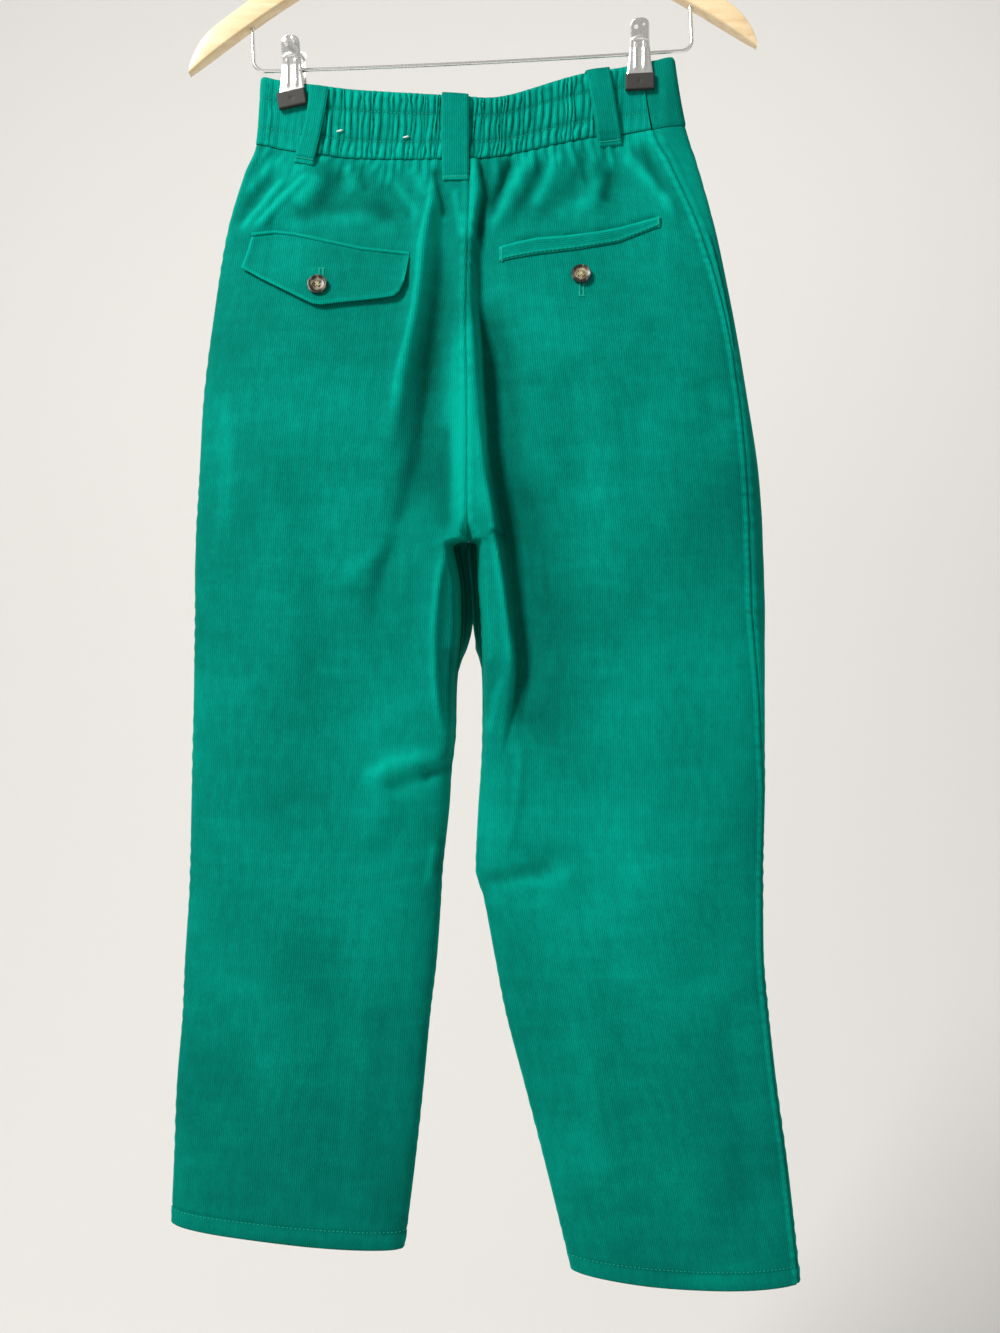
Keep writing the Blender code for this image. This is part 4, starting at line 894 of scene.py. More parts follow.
def cut(obj: Object, tool: Object, operation: str) -> Object:
    """Join or cut one object with another and keep the result as its mesh.

    Args:
        obj: The object.
        tool: The other one, which is used up.
        operation: Name of the boolean operation.

    Returns:
        The object.
    """
    modifier = obj.modifiers.new("cut", "BOOLEAN")
    modifier.operation = operation
    modifier.object = tool
    result = bpy.data.meshes.new_from_object(obj.evaluated_get(bpy.context.evaluated_depsgraph_get()))
    obj.modifiers.clear()
    obj.data = result
    bpy.data.objects.remove(tool)
    return obj


def add_box(bm: bmesh.types.BMesh, centre: Array, size: tuple[float, float, float]) -> None:
    """Add an upright box to a bmesh.

    Args:
        bm: The bmesh.
        centre: Its middle, in millimetres.
        size: Its edges.
    """
    scale = Matrix.Diagonal((*(edge * MM for edge in size), 1.0))
    bmesh.ops.create_cube(bm, size=1.0, matrix=Matrix.Translation(Vector(centre) * MM) @ scale)


def rods(ends: list[tuple[Vector, Vector]], radius: float, segments: int = 24) -> Object:
    """Closed cylinders between pairs of points, as a tool to cut with.

    Args:
        ends: Pairs of points, in millimetres.
        radius: Their radius.
        segments: Their sides.

    Returns:
        The tool.
    """
    bm = bmesh.new()
    for start, end in ends:
        way = (end - start) * MM
        turn = way.to_track_quat("Z", "Y").to_matrix().to_4x4()
        bmesh.ops.create_cone(bm, cap_ends=True, segments=segments, radius1=radius * MM, radius2=radius * MM,
                              depth=way.length, matrix=Matrix.Translation((start + end) * 0.5 * MM) @ turn)
    return linked("rods", mesh_from(bm, "rods"))


def settle(obj: Object, node: str | None) -> Object:
    """Let a piece ride on the one body and stand for its solid, whose imported part is hidden.

    Args:
        obj: The piece.
        node: The solid that it stands for, or None.

    Returns:
        The piece.
    """
    if node is not None:
        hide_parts(node)
    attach(obj, BODY)
    LOG.info("%s: %d faces", obj.name, len(obj.data.polygons))
    return obj


# ------------------------------
# Finishes


def linear(code: str) -> tuple[float, float, float, float]:
    """Linear colour of an sRGB hex value."""
    shares = [int(code[i:i + 2], 16) / 255.0 for i in (1, 3, 5)]
    return (*[s / 12.92 if s <= 0.04045 else ((s + 0.055) / 1.055) ** 2.4 for s in shares], 1.0)


def put(tree: NodeTree, node: Node, inputs: dict) -> None:
    """Set a node's inputs, or link them to the sockets that are given.

    Args:
        tree: The nodes that it stands among.
        node: The node.
        inputs: Value or output socket for each input, by name or number.
    """
    for name, value in inputs.items():
        if isinstance(value, NodeSocket):
            tree.links.new(value, node.inputs[name])
        else:
            node.inputs[name].default_value = value


def add(tree: NodeTree, kind: str, inputs: dict | None = None,
        **settings: object) -> Node:
    """Add a node, set its properties and sockets, and link the sockets that are given.

    Args:
        tree: The material's nodes.
        kind: Node type, without its first word.
        inputs: Value or output socket for each input, by name or number.
        settings: Properties of the node.

    Returns:
        The node.
    """
    made = tree.nodes.new("ShaderNode" + kind)
    for name, value in settings.items():
        setattr(made, name, value)
    put(tree, made, inputs or {})
    return made


def set_stops(ramp: Node, stops: tuple[tuple[float, str], ...]) -> None:
    """Give a colour ramp its stops.

    Args:
        ramp: The node.
        stops: Position and colour of the first, the last and any between.
    """
    elements = ramp.color_ramp.elements
    for number, (position, colour) in enumerate(stops):
        element = elements[number] if number < 2 else elements.new(position)
        element.position = position
        element.color = linear(colour)


def blank(name: str) -> tuple[Material, NodeTree, Node]:
    """Start a material.

    Args:
        name: Its name.

    Returns:
        The material, its tree and its one shader.
    """
    material = bpy.data.materials.new(name)
    material.use_nodes = True
    tree = material.node_tree
    return material, tree, tree.nodes["Principled BSDF"]


@dataclass(frozen=True)
class Corduroy:
    """Cotton needlecord, piece dyed, with a cut pile in fine wales.

    The pile gives a soft, bright rim where the cloth turns away; the hollows between the wales are sunken and
    also painted darker, a painted shade.
    """

    name: str = "cotton_needlecord_cut_pile"
    lit: str = "#009b88"
    base: str = "#007264"
    dark: str = "#004a3e"
    sheen: str = "#00c8aa"
    wale: float = 1.7 * MM
    wander: float = 1.1 * MM

    def make(self) -> Material:
        """Build the material; wales follow the cloth's own UV map, in metres.

        Returns:
            The material.
        """
        material, tree, shader = blank(self.name)
        place = add(tree, "UVMap", uv_map="cloth").outputs["UV"]
        room = add(tree, "TexCoord").outputs["Object"]
        wander = add(tree, "TexNoise", {"Vector": place, "Scale": 60.0, "Detail": 2.0}).outputs["Fac"]
        axes = add(tree, "SeparateXYZ", {"Vector": place})
        crest = add(tree, "Math", {0: wander, 1: self.wander, 2: axes.outputs["X"]},
                    operation="MULTIPLY_ADD").outputs[0]
        for operation, value in (("DIVIDE", self.wale), ("PINGPONG", 0.5), ("MULTIPLY", 2.0), ("POWER", 0.6)):
            crest = add(tree, "Math", {0: crest, 1: value}, operation=operation).outputs[0]
        # Tufts along each wale, then streaks of pressed pile, then faint scuffs across, left by folding
        tufts, streaks, faint = (
            add(tree, "TexNoise", {
                "Vector": add(tree, "Mapping", {"Vector": place, "Scale": scale}).outputs[0],
                "Scale": 1.0, "Detail": detail}).outputs["Fac"]
            for scale, detail in (((1400.0, 260.0, 1.0), 3.0), ((170.0, 55.0, 1.0), 2.0),
                                  ((26.0, 110.0, 1.0), 3.0)))
        # Pile that handling has laid this way and that
        nap = add(tree, "TexNoise", {"Vector": room, "Scale": 11.0, "Detail": 3.0,
                                               "Roughness": 0.45}).outputs["Fac"]
        scuffs = add(tree, "MapRange", {"Value": faint, "From Min": 0.42, "From Max": 0.72}).outputs[0]
        # Painted highlight on crests and painted shade in hollows, with some pile wear, carried by the
        # cloth's points
        wear_and_painted_light = add(tree, "Attribute", attribute_name="wear_and_painted_light").outputs["Fac"]
        # The wale profile also paints the furrows between the wales darker: painted shade on top of their
        # bump
        mix = 0.02
        for source, share in ((wear_and_painted_light, 0.26), (crest, 0.17), (tufts, 0.30), (nap, 0.42), (streaks, 0.20),
                              (scuffs, 0.05)):
            mix = add(tree, "Math", {0: source, 1: share, 2: mix}, operation="MULTIPLY_ADD").outputs[0]
        ramp = add(tree, "ValToRGB", {"Fac": mix})
        set_stops(ramp, ((0.25, self.dark), (0.95, self.lit), (0.60, self.base)))
        height = add(tree, "Math", {0: tufts, 1: 0.45, 2: crest}, operation="MULTIPLY_ADD").outputs[0]
        raised = add(tree, "Bump", {"Height": height, "Strength": 0.5, "Distance": 0.30 * MM})
        put(tree, shader, {
            "Base Color": ramp.outputs["Color"], "Normal": raised.outputs["Normal"], "Roughness": 0.9,
            "Specular IOR Level": 0.03, "Sheen Weight": 0.7, "Sheen Roughness": 0.3,
            "Sheen Tint": linear(self.sheen)})
        return material


@dataclass(frozen=True)
class TwoTone:
    """Plain finish with fine marks between two tones of its colour; grit: how far they stand out."""

    name: str
    colour: str
    dark: str
    scale: float
    detail: float = 2.0
    grit: float = 0.0
    roughness: float = 0.5
    specular: float = 0.5

    def make(self) -> Material:
        """Build the material.

        Returns:
            The material.
        """
        material, tree, shader = blank(self.name)
        room = add(tree, "TexCoord").outputs["Object"]
        marks = add(tree, "TexNoise", {"Vector": room, "Scale": self.scale,
                                                 "Detail": self.detail}).outputs["Fac"]
        colour = add(tree, "Mix", {0: marks, 6: linear(self.dark), 7: linear(self.colour)},
                     data_type="RGBA").outputs[2]
        put(tree, shader, {"Base Color": colour, "Roughness": self.roughness,
                           "Specular IOR Level": self.specular})
        if self.grit:
            raised = add(tree, "Bump", {"Height": marks, "Strength": self.grit, "Distance": 0.1 * MM})
            put(tree, shader, {"Normal": raised.outputs["Normal"]})
        return material


@dataclass(frozen=True)
class SewingThread(TwoTone):
    """Core-spun polyester sewing thread: a tight, slightly shiny twist, darker between the plies."""

    scale: float = 900.0
    grit: float = 0.4
    roughness: float = 0.75
    specular: float = 0.2


@dataclass(frozen=True)
class ZipTeeth(TwoTone):
    """Moulded acetal zip teeth: smooth and slightly waxy, dyed like the cloth, with faint flow marks."""

    name: str = "moulded_acetal_zip_teeth"
    colour: str = "#0c7363"
    dark: str = "#075548"
    scale: float = 800.0
    detail: float = 1.0
    roughness: float = 0.35


@dataclass(frozen=True)
class Rubber(TwoTone):
    """Moulded black rubber, matt with a grit of half a millimetre."""

    name: str = "moulded_rubber"
    colour: str = "#292824"
    dark: str = "#1b1a17"
    scale: float = 1800.0
    grit: float = 0.3
    roughness: float = 0.68


@dataclass(frozen=True)
class ZipTape:
    """Woven polyester zip tape: a flat fine herringbone."""

    name: str = "woven_polyester_zip_tape"
    colour: str = "#0b6f60"
    dark: str = "#064a40"

    def make(self) -> Material:
        """Build the material; threads 0.6 mm apart, drawn a little coarser than real.

        Returns:
            The material.
        """
        material, tree, shader = blank(self.name)
        place = add(tree, "UVMap", uv_map="cloth").outputs["UV"]
        weave = add(tree, "TexWave", {"Vector": place, "Scale": 260.0, "Distortion": 0.6},
                    bands_direction="DIAGONAL").outputs["Fac"]
        colour = add(tree, "Mix", {0: weave, 6: linear(self.dark), 7: linear(self.colour)},
                     data_type="RGBA").outputs[2]
        raised = add(tree, "Bump", {"Height": weave, "Strength": 0.5, "Distance": 0.2 * MM})
        put(tree, shader, {"Base Color": colour, "Normal": raised.outputs["Normal"], "Roughness": 0.7})
        return material


@dataclass(frozen=True)
class Horn:
    """Polished horn: translucent brown streaks under a soft gloss."""

    name: str = "polished_horn"
    pale: str = "#b9ae90"
    middle: str = "#8c7f63"
    dark: str = "#4a3e2f"
    rim: str = "#14100c"

    def make(self) -> Material:
        """Build the material; streaks are a few millimetres long.

        Returns:
            The material.
        """
        material, tree, shader = blank(self.name)
        room = add(tree, "TexCoord").outputs["Object"]
        turned = add(tree, "Mapping", {"Vector": room, "Scale": (170.0, 170.0, 90.0),
                                                 "Rotation": (0.3, 0.5, 0.2)})
        streaks = add(tree, "TexNoise", {"Vector": turned.outputs[0], "Scale": 1.0, "Detail": 4.0,
                                                   "Distortion": 1.2}).outputs["Fac"]
        ramp = add(tree, "ValToRGB", {"Fac": streaks})
        set_stops(ramp, ((0.36, self.dark), (0.62, self.pale), (0.47, self.middle)))
        # The raised rim is cut from the dark outer layer
        rim = add(tree, "Attribute", attribute_name="rim").outputs["Fac"]
        shaded = add(tree, "MapRange", {"Value": streaks, "From Min": 0.35, "From Max": 0.62,
                                                  "To Min": 0.35, "To Max": -0.3}).outputs[0]
        cover = add(tree, "Math", {0: rim, 1: shaded}, operation="ADD", use_clamp=True).outputs[0]
        colour = add(tree, "Mix", {0: cover, 6: ramp.outputs["Color"], 7: linear(self.rim)},
                     data_type="RGBA").outputs[2]
        rough = add(tree, "MapRange", {"Value": streaks, "To Min": 0.3, "To Max": 0.45}).outputs[0]
        put(tree, shader, {"Base Color": colour, "Roughness": rough, "IOR": 1.54})
        return material


@dataclass(frozen=True)
class Beech:
    """Steamed beech, shaped and clear varnished: fine flecked grain along the arms under gloss."""

    name: str = "varnished_beech"
    pale: str = "#f2dcb4"
    base: str = "#dfc090"
    fleck: str = "#c09a63"

    def make(self) -> Material:
        """Build the material; grain lines about 2 mm apart, flecks 3 mm long.

        Returns:
            The material.
        """
        material, tree, shader = blank(self.name)
        room = add(tree, "TexCoord").outputs["Object"]
        along = add(tree, "Mapping", {"Vector": room, "Scale": (9.0, 120.0, 120.0)})
        grain = add(tree, "TexNoise", {"Vector": along.outputs[0], "Scale": 1.6, "Detail": 5.0,
                                                 "Distortion": 0.4}).outputs["Fac"]
        short = add(tree, "Mapping", {"Vector": room, "Scale": (300.0, 1500.0, 1500.0)})
        flecks = add(tree, "TexNoise", {"Vector": short.outputs[0], "Scale": 1.0,
                                                  "Detail": 2.0}).outputs["Fac"]
        ramp = add(tree, "ValToRGB", {"Fac": grain})
        set_stops(ramp, ((0.3, self.base), (0.7, self.pale)))
        worn = add(tree, "MapRange", {"Value": flecks, "From Min": 0.62, "From Max": 0.75}).outputs[0]
        colour = add(tree, "Mix", {0: worn, 6: ramp.outputs["Color"], 7: linear(self.fleck)},
                     data_type="RGBA").outputs[2]
        raised = add(tree, "Bump", {"Height": grain, "Strength": 0.12, "Distance": 0.4 * MM})
        put(tree, shader, {"Base Color": colour, "Normal": raised.outputs["Normal"], "Roughness": 0.42,
                           "Coat Weight": 0.5, "Coat Roughness": 0.12})
        return material


@dataclass(frozen=True)
class Chrome:
    """Pressed or drawn steel, chromium plated: bright, with faint rubbing marks."""

    name: str = "chromium_plated_steel"
    colour: str = "#f4f4f2"

    def make(self) -> Material:
        """Build the material; rubbing marks are a fraction of a millimetre wide.

        Returns:
            The material.
        """
        material, tree, shader = blank(self.name)
        room = add(tree, "TexCoord").outputs["Object"]
        marks = add(tree, "TexNoise", {"Vector": room, "Scale": 700.0, "Detail": 3.0}).outputs["Fac"]
        rough = add(tree, "MapRange", {"Value": marks, "To Min": 0.2, "To Max": 0.36}).outputs[0]
        put(tree, shader, {"Base Color": linear(self.colour), "Metallic": 1.0, "Roughness": rough})
        return material


@dataclass(frozen=True)
class Paper:
    """Matt studio paper for the floor and the sweep behind."""

    name: str = "studio_paper"
    colour: str = "#e9e8e6"

    def make(self) -> Material:
        """Build the material.

        Returns:
            The material.
        """
        material, tree, shader = blank(self.name)
        put(tree, shader, {"Base Color": linear(self.colour), "Roughness": 0.95})
        return material


@dataclass(frozen=True)
class Finishes:
    """Every finish, made once."""

    cord: Material = field(default_factory=Corduroy().make)
    thread: Material = field(
        default_factory=SewingThread("spun_polyester_thread_green", "#10a893", "#098775").make)
    white: Material = field(
        default_factory=SewingThread("spun_polyester_thread_white", "#f4f4f0", "#d8d8d2").make)
    straw: Material = field(
        default_factory=SewingThread("spun_polyester_thread_straw", "#c6c594", "#9c9b6c").make)
    tape: Material = field(default_factory=ZipTape().make)
    tape_teeth: Material = field(default_factory=ZipTeeth().make)
    horn: Material = field(default_factory=Horn().make)
    wood: Material = field(default_factory=Beech().make)
    steel: Material = field(default_factory=Chrome().make)
    rubber: Material = field(default_factory=Rubber().make)


# ------------------------------
# Sewing


class Strand(NamedTuple):
    """One visible stitch: its two ends, the way out of the cloth there and its half thickness."""

    start: Array
    end: Array
    out: Array
    radius: float


@dataclass
class Sewing:
    """Stitches laid on finished cloth."""

    finishes: Finishes
    pitch: float = 3.2
    length: float = 2.5
    radius: float = 0.32
    satin_pitch: float = 0.45

    def lay(self, name: str, strands: list[Strand], white: bool = False) -> Object:
        """Lay stitches as one object.

        Args:
            name: The object's name.
            strands: The stitches.
            white: Whether the thread is white instead of the cloth's colour.

        Returns:
            The object.
        """
        bm = bmesh.new()
        for strand in strands:
            way = unit(strand.end - strand.start)
            side = unit(np.cross(strand.out, way))
            up = np.cross(way, side)
            half = 0.5 * np.linalg.norm(strand.end - strand.start)
            turn = Matrix((way * half, side * strand.radius, up * strand.radius)).transposed().to_4x4()
            centre = 0.5 * (strand.start + strand.end) + up * 0.3 * strand.radius
            place = Matrix.Translation(Vector(centre) * MM) @ Matrix.Scale(MM, 4) @ turn
            bmesh.ops.create_icosphere(bm, subdivisions=1, radius=1.0, matrix=place)
        thread = self.finishes.white if white else self.finishes.thread
        return settle(new_object(name, mesh_from(bm, name), thread, 180.0), None)

    def along(self, line: Array, out: Array, pitch: float) -> list[tuple[Array, ...]]:
        """Find places evenly apart on a line.

        Args:
            line: Points of the line.
            out: Way out of the cloth at each.
            pitch: Distance between places.

        Returns:
            Each place, the way on and the way out of the cloth there.
        """
        run = run_along(line[None])[0]
        count = max(1, int(run[-1] // pitch))
        made = []
        for number in range(count):
            middle = (number + 0.5) * run[-1] / count
            before, at, after, up = (
                np.array([np.interp(middle + shift, run, source[:, k]) for k in range(3)])
                for shift, source in ((-0.5, line), (0.0, line), (0.5, line), (0.0, out)))
            made.append((at, unit(after - before), unit(up)))
        return made

    def row(self, name: str, line: Array, out: Array) -> Object:
        """Lay a row of lockstitches along a line.

        Args:
            name: The object's name.
            line: Points of the line.
            out: Way out of the cloth at each.

        Returns:
            The object.
        """
        reach = 0.5 * self.length
        return self.lay(name, [Strand(at - way * reach, at + way * reach, up, self.radius)
                               for at, way, up in self.along(line, out, self.pitch)])

    def satin(self, line: Array, out: Array, width: float) -> list[Strand]:
        """Close stitches across a line, as in a bar tack or the lip of a buttonhole.

        Args:
            line: Points of the line.
            out: Way out of the cloth at each.
            width: Length of the stitches.

        Returns:
            The stitches.
        """
        made = []
        for at, way, up in self.along(line, out, self.satin_pitch):
            side = np.cross(up, way) * 0.5 * width
            made.append(Strand(at - side, at + side, up, self.radius))
        return made


@dataclass
class Sewn:
    """What every sewn sub-assembly is made with."""

    finishes: Finishes
    sewing: Sewing


def resting(grid: Array, x: Array, drop: Array) -> tuple[Array, Array]:
    """Find places on the back's laid cloth.

    Args:
        grid: Outer points of the cloth, rows x columns x 3.
        x: x of the places.
        drop: Their drops.

    Returns:
        The places on the cloth and the outward direction at each.
    """
    normal = grid_normals(grid)
    normal = (normal * -np.sign(normal[..., 1:2])).reshape(-1, 3)
    flat = grid.reshape(-1, 3)
    x, drop = (np.asarray(values, float).ravel() for values in np.broadcast_arrays(x, drop))
    z = -(FORM.waist_line + drop)
    nearest = np.argmin((flat[None, :, 0] - x[:, None]) ** 2 + (flat[None, :, 2] - z[:, None]) ** 2, axis=1)
    at = flat[nearest]
    out = normal[nearest]
    y = at[:, 1] - (out[:, 0] * (x - at[:, 0]) + out[:, 2] * (z - at[:, 2])) / out[:, 1]
    return np.stack([x, y, z], axis=-1), out


# ------------------------------
# Cloth pieces


Line = tuple[tuple[float, float], ...]
JET_LINE: Line = ((-162, 111), (-143, 109), (-129, 111), (-106, 117), (-76, 124), (-38, 129))
FLAP_EDGE: Line = ((-168, 141), (-152, 151), (-137, 159), (-122, 167), (-112, 172), (-105, 172.8),
                   (-91, 171), (-61, 168), (-50, 166.5), (-44, 163), (-40, 155))
WELT_MOUTH: Line = ((31, 124.5), (59, 118), (80, 116), (105, 112), (124, 107.5), (138, 103.5), (156, 98))
WELT_SEAM: Line = ((31, 136), (62, 130.5), (92, 126), (123, 119.5), (156, 106))


def drop_of(points: Array) -> Array:
    """Drops of points below the waist line."""
    return -(points[..., 2] + FORM.waist_line)


def line_at(line: Line, x: Array) -> Array:
    """Drop of a line at x."""
    return np.interp(x, [point[0] for point in line], [point[1] for point in line])


class Panel(NamedTuple):
    """One leg panel: its node, place, mesh columns, cut size in metres and flat area."""

    node: str
    half: Half
    side: Side
    columns: int
    flat: tuple[float, float]
    area: float


PANELS = (
    Panel("back_left", Half.LEFT, Side.BACK, 146, (0.235, 0.90), 0.175),
    Panel("back_right", Half.RIGHT, Side.BACK, 146, (0.240, 0.94), 0.180),
    Panel("front_left", Half.LEFT, Side.FRONT, 76, (0.235, 0.90), 0.172),
    Panel("front_right", Half.RIGHT, Side.FRONT, 84, (0.245, 0.95), 0.190),
)
GRAIN = {
    Half.LEFT: ((50, -80), (350, -103), (606, -113), (904, -136)),
    Half.RIGHT: ((50, 92), (350, 121), (606, 125), (931, 178)),
}


def grain_at(half: Half, drop: Array) -> Array:
    """x of the wale that runs down the middle of a leg."""
    return np.interp(drop, *zip(*GRAIN[half]))


@dataclass
class LegPanels(Sewn):
    """The four leg panels, from the waistband's seam to the hems."""

    cloth: float = 2.0
    hem_cloth: float = 3.2
    hem_depth: float = 15.0
    seam_gap: float = 0.08
    start: float = 1.012
    pocket: tuple[float, float] = (135.0, 214.0)
    lip_drops: tuple[float, ...] = (119.0, 146.0, 176.0, 205.0)
    lip_widths: tuple[float, ...] = (6.3, 5.2, 3.8, 2.6)
    crotch_rows: tuple[float, float] = (338.0, 366.0)
    edge_columns: tuple[float, ...] = (0.0, 0.45, 1.0, 1.7, 2.5, 3.4, 4.4, 5.5, 6.8, 8.2)
    samples: int = 900

    def rows(self, half: Half) -> Array:
        """Space the mesh rows: close at the band and the hem, wider between.

        Args:
            half: The leg.

        Returns:
            Their section positions.
        """
        last = float(len(TABLES[half]) - 1)
        fine = np.linspace(self.start, last, 2000)
        drops = FORM.row_drop(half, fine, np.full_like(fine, 0.5))
        low, high = drops[0], drops[-1]
        targets = np.concatenate([
            np.arange(low, low + 4.0, 1.0),
            np.arange(low + 4.0, low + 70.0, 2.2),
            np.arange(low + 70.0, self.crotch_rows[0], 3.2),
            np.arange(*self.crotch_rows, 1.4),
            np.arange(self.crotch_rows[1], high - 21.0, 3.2),
            np.arange(high - 21.0, high - 1.8, 1.2),
            (high - 1.2, high - 0.5, high),
        ])
        return np.interp(targets, drops, fine)

    def turns(self, panel: Panel, rows: Array) -> Array:
        """Space each row's columns evenly on the cloth, and closer at the seams.

        Args:
            panel: The panel.
            rows: Section positions of its rows.

        Returns:
            The columns' angles, rows x columns.
        """
        seam = FORM.seam_turn(panel.half, rows)[:, None]
        share = np.linspace(0.0, 1.0, self.samples)[None, :]
        if panel.side is Side.BACK:
            trial = -math.pi + (seam + math.pi) * share
        else:
            trial = seam + (math.pi - seam) * share
        run = run_along(FORM.surface(panel.half, trial, rows[:, None], folded=False))
        edge = np.array(self.edge_columns)
        made = []
        for row in range(len(rows)):
            length = run[row, -1]
            inside = np.linspace(edge[-1], length - edge[-1], panel.columns - 2 * len(edge) + 2)[1:-1]
            target = np.concatenate([edge, inside, length - edge[::-1]])
            made.append(np.interp(target, run[row], trial[row]))
        return np.array(made)

    def thickness(self, panel: Panel, points: Array) -> tuple[Array, Array]:
        """Work out how far the two faces lie from the middle of the wall.

        Args:
            panel: The panel.
            points: The middle of its wall, rows x columns x 3.

        Returns:
            The distances of the inner and of the outer face.
        """
        drop = drop_of(points)
        across = run_along(points)
        edge = np.minimum(across, across[:, -1:] - across)
        to_hem = drop[-1:, :] - drop
        from_band = drop - drop[:1, :]
        hem = 1.0 - ease(self.hem_depth, self.hem_depth + 6.0, to_hem)
        inside = 0.5 * self.cloth + (self.hem_cloth - self.cloth) * hem
        outside = (0.5 * self.cloth - 0.6 * bump(0.0, 0.9, edge) + 0.4 * bump(3.2, 2.2, edge)
                   - 0.15 * bump(6.6, 0.9, edge))
        pucker = np.sin(drop / 1.9 + 1.6 * np.sin(drop / 23.0)) * np.sin(drop / 31.0 + 0.7) ** 2
        outside += 0.35 * pucker * bump(3.4, 2.4, edge)
        outside -= 0.45 * bump(self.hem_depth - 1.0, 1.3, to_hem)
        outside += 0.25 * bump(self.hem_depth - 6.0, 5.0, to_hem)
        outside -= 0.4 * bump(0.0, 1.0, from_band)
        outside -= 1.0 * bump(0.0, 0.9, to_hem)
        inside -= 1.0 * bump(0.0, 0.9, to_hem)
        if panel.node == "front_right":
            lip = np.interp(drop, self.lip_drops, self.lip_widths)
            along = between(self.lip_drops[0] - 12.0, self.lip_drops[0], self.lip_drops[-1] - 6.0,
                            self.lip_drops[-1] + 2.0, drop)
            outside += along * (0.9 * bump(lip - 2.2, 1.6, across) - 1.3 * bump(lip, 0.8, across))
        elif panel.node == "back_right":
            mouth = between(self.pocket[0] - 6.0, self.pocket[0] + 6.0, self.pocket[1] - 6.0,
                            self.pocket[1] + 4.0, drop)
            outside += 0.5 * mouth * bump(1.5, 2.0, across[:, -1:] - across)
        return inside, outside

    def pile_and_painted_light(self, panel: Panel, x: Array, drop: Array, beside_seam: Array) -> Array:
        """Work out where the panel's colour carries painted light and shade, and a lighter stripe beside one
        seam.

        Args:
            panel: The panel.
            x: Its points' x.
            drop: Their drops.
            beside_seam: Their distances from the panel's last column.

        Returns:
            Painted light and shade, and the seam's lighter stripe, to add to that of the creases.
        """
        # Painted light: lighter towards the right and below the crotch, a painted pool of light on the left
        # hip, painted shade towards the hems
        wear_and_painted_light = (0.3 * ease(-15.0, 75.0, x) + 0.2 * ease(400.0, 520.0, drop) - 0.5 * ease(580.0, 860.0, drop)
                + 0.3 * bump(-80.0, 70.0, x) * bump(310.0, 110.0, drop))
        if panel.side is Side.FRONT:
            # Painted shade between the thighs, on the front panels beside the inner seam
            wear_and_painted_light -= 2.2 * (1.0 - ease(7.0, 13.0, beside_seam)) * between(346.0, 353.0, 430.0, 500.0, drop)
        if panel.node == "back_right":
            # A lighter stripe with fine ribbing runs beside the side seam
            wear_and_painted_light += (0.55 + 0.35 * np.sin(drop / 1.1)) * bump(3.2, 2.4, beside_seam)
        if panel.node == "back_left":
            # Painted highlight beside the centre seam, above the crotch
            wear_and_painted_light += 0.55 * ease(-32.0, -8.0, x) * between(200.0, 345.0, 352.0, 358.0, drop)
        return wear_and_painted_light

    def build_panel(self, panel: Panel) -> None:
        """Build and dress one panel and sew its hem.

        Args:
            panel: The panel.
        """
        rows = self.rows(panel.half)
        turns = self.turns(panel, rows)
        points = FORM.surface(panel.half, turns, rows[:, None], fine=True)
        normal = grid_normals(points)
        if panel.half is Half.RIGHT:
            normal = -normal
        normal[:2, :, 2] *= np.array([0.0, 0.4])[:, None]
        normal = unit(normal)
        inside, outside = self.thickness(panel, points)
        if panel.node == "back_right":
            # The panel sinks a little along the welt's mouth
            above = line_at(WELT_MOUTH, points[..., 0]) - drop_of(points)
            mouth = between(WELT_MOUTH[0][0], 50.0, 152.0, WELT_MOUTH[-1][0], points[..., 0])
            points = points - normal * (2.4 * mouth * bump(0.2, 2.1, above))[..., None]
        seam_column, neighbour = (-1, -3) if panel.side is Side.BACK else (0, 2)
        away = unit(points[:, neighbour] - points[:, seam_column])
        points[:, seam_column] += away * 0.5 * self.seam_gap
        inner = points - normal * inside[..., None]
        outer = points + normal * outside[..., None]
        for face in (inner, outer):
            self.keep_apart(face, panel, rows)
        across = run_along(points)
        drop = drop_of(points)
        middle = []
        for row in range(len(rows)):
            shown = turns[row] < 0 if panel.side is Side.BACK else turns[row] > 0
            x = points[row, shown, 0]
            order = np.argsort(x)
            target = grain_at(panel.half, drop[row].mean())
            middle.append(np.interp(target, x[order], across[row, shown][order]))
        uv = np.stack([across - np.array(middle)[:, None], drop], axis=-1) * MM
        creases = FORM.creases(turns < 0, points[..., 0], drop)
        # Painted highlight on crease crests and raised seams, painted shade in crease hollows and furrows
        wear_and_painted_light = np.clip(creases / 2.2, -1.0, 0.9) + 0.5 * np.clip((outside - 1.0) / 0.6, -1.0, 1.0)
        wear_and_painted_light += self.pile_and_painted_light(panel, points[..., 0], drop, across[:, -1:] - across)
        obj = cloth_wall(panel.node, inner, outer, uv, self.finishes.cord, wear_and_painted_light)
        level = int(np.argmin(np.abs(drop[:, 10] - (drop[-1, 10] - self.hem_depth + 1.0))))
        self.sewing.row(f"hem_stitches_{panel.node}", outer[level, 2:-2], normal[level, 2:-2])

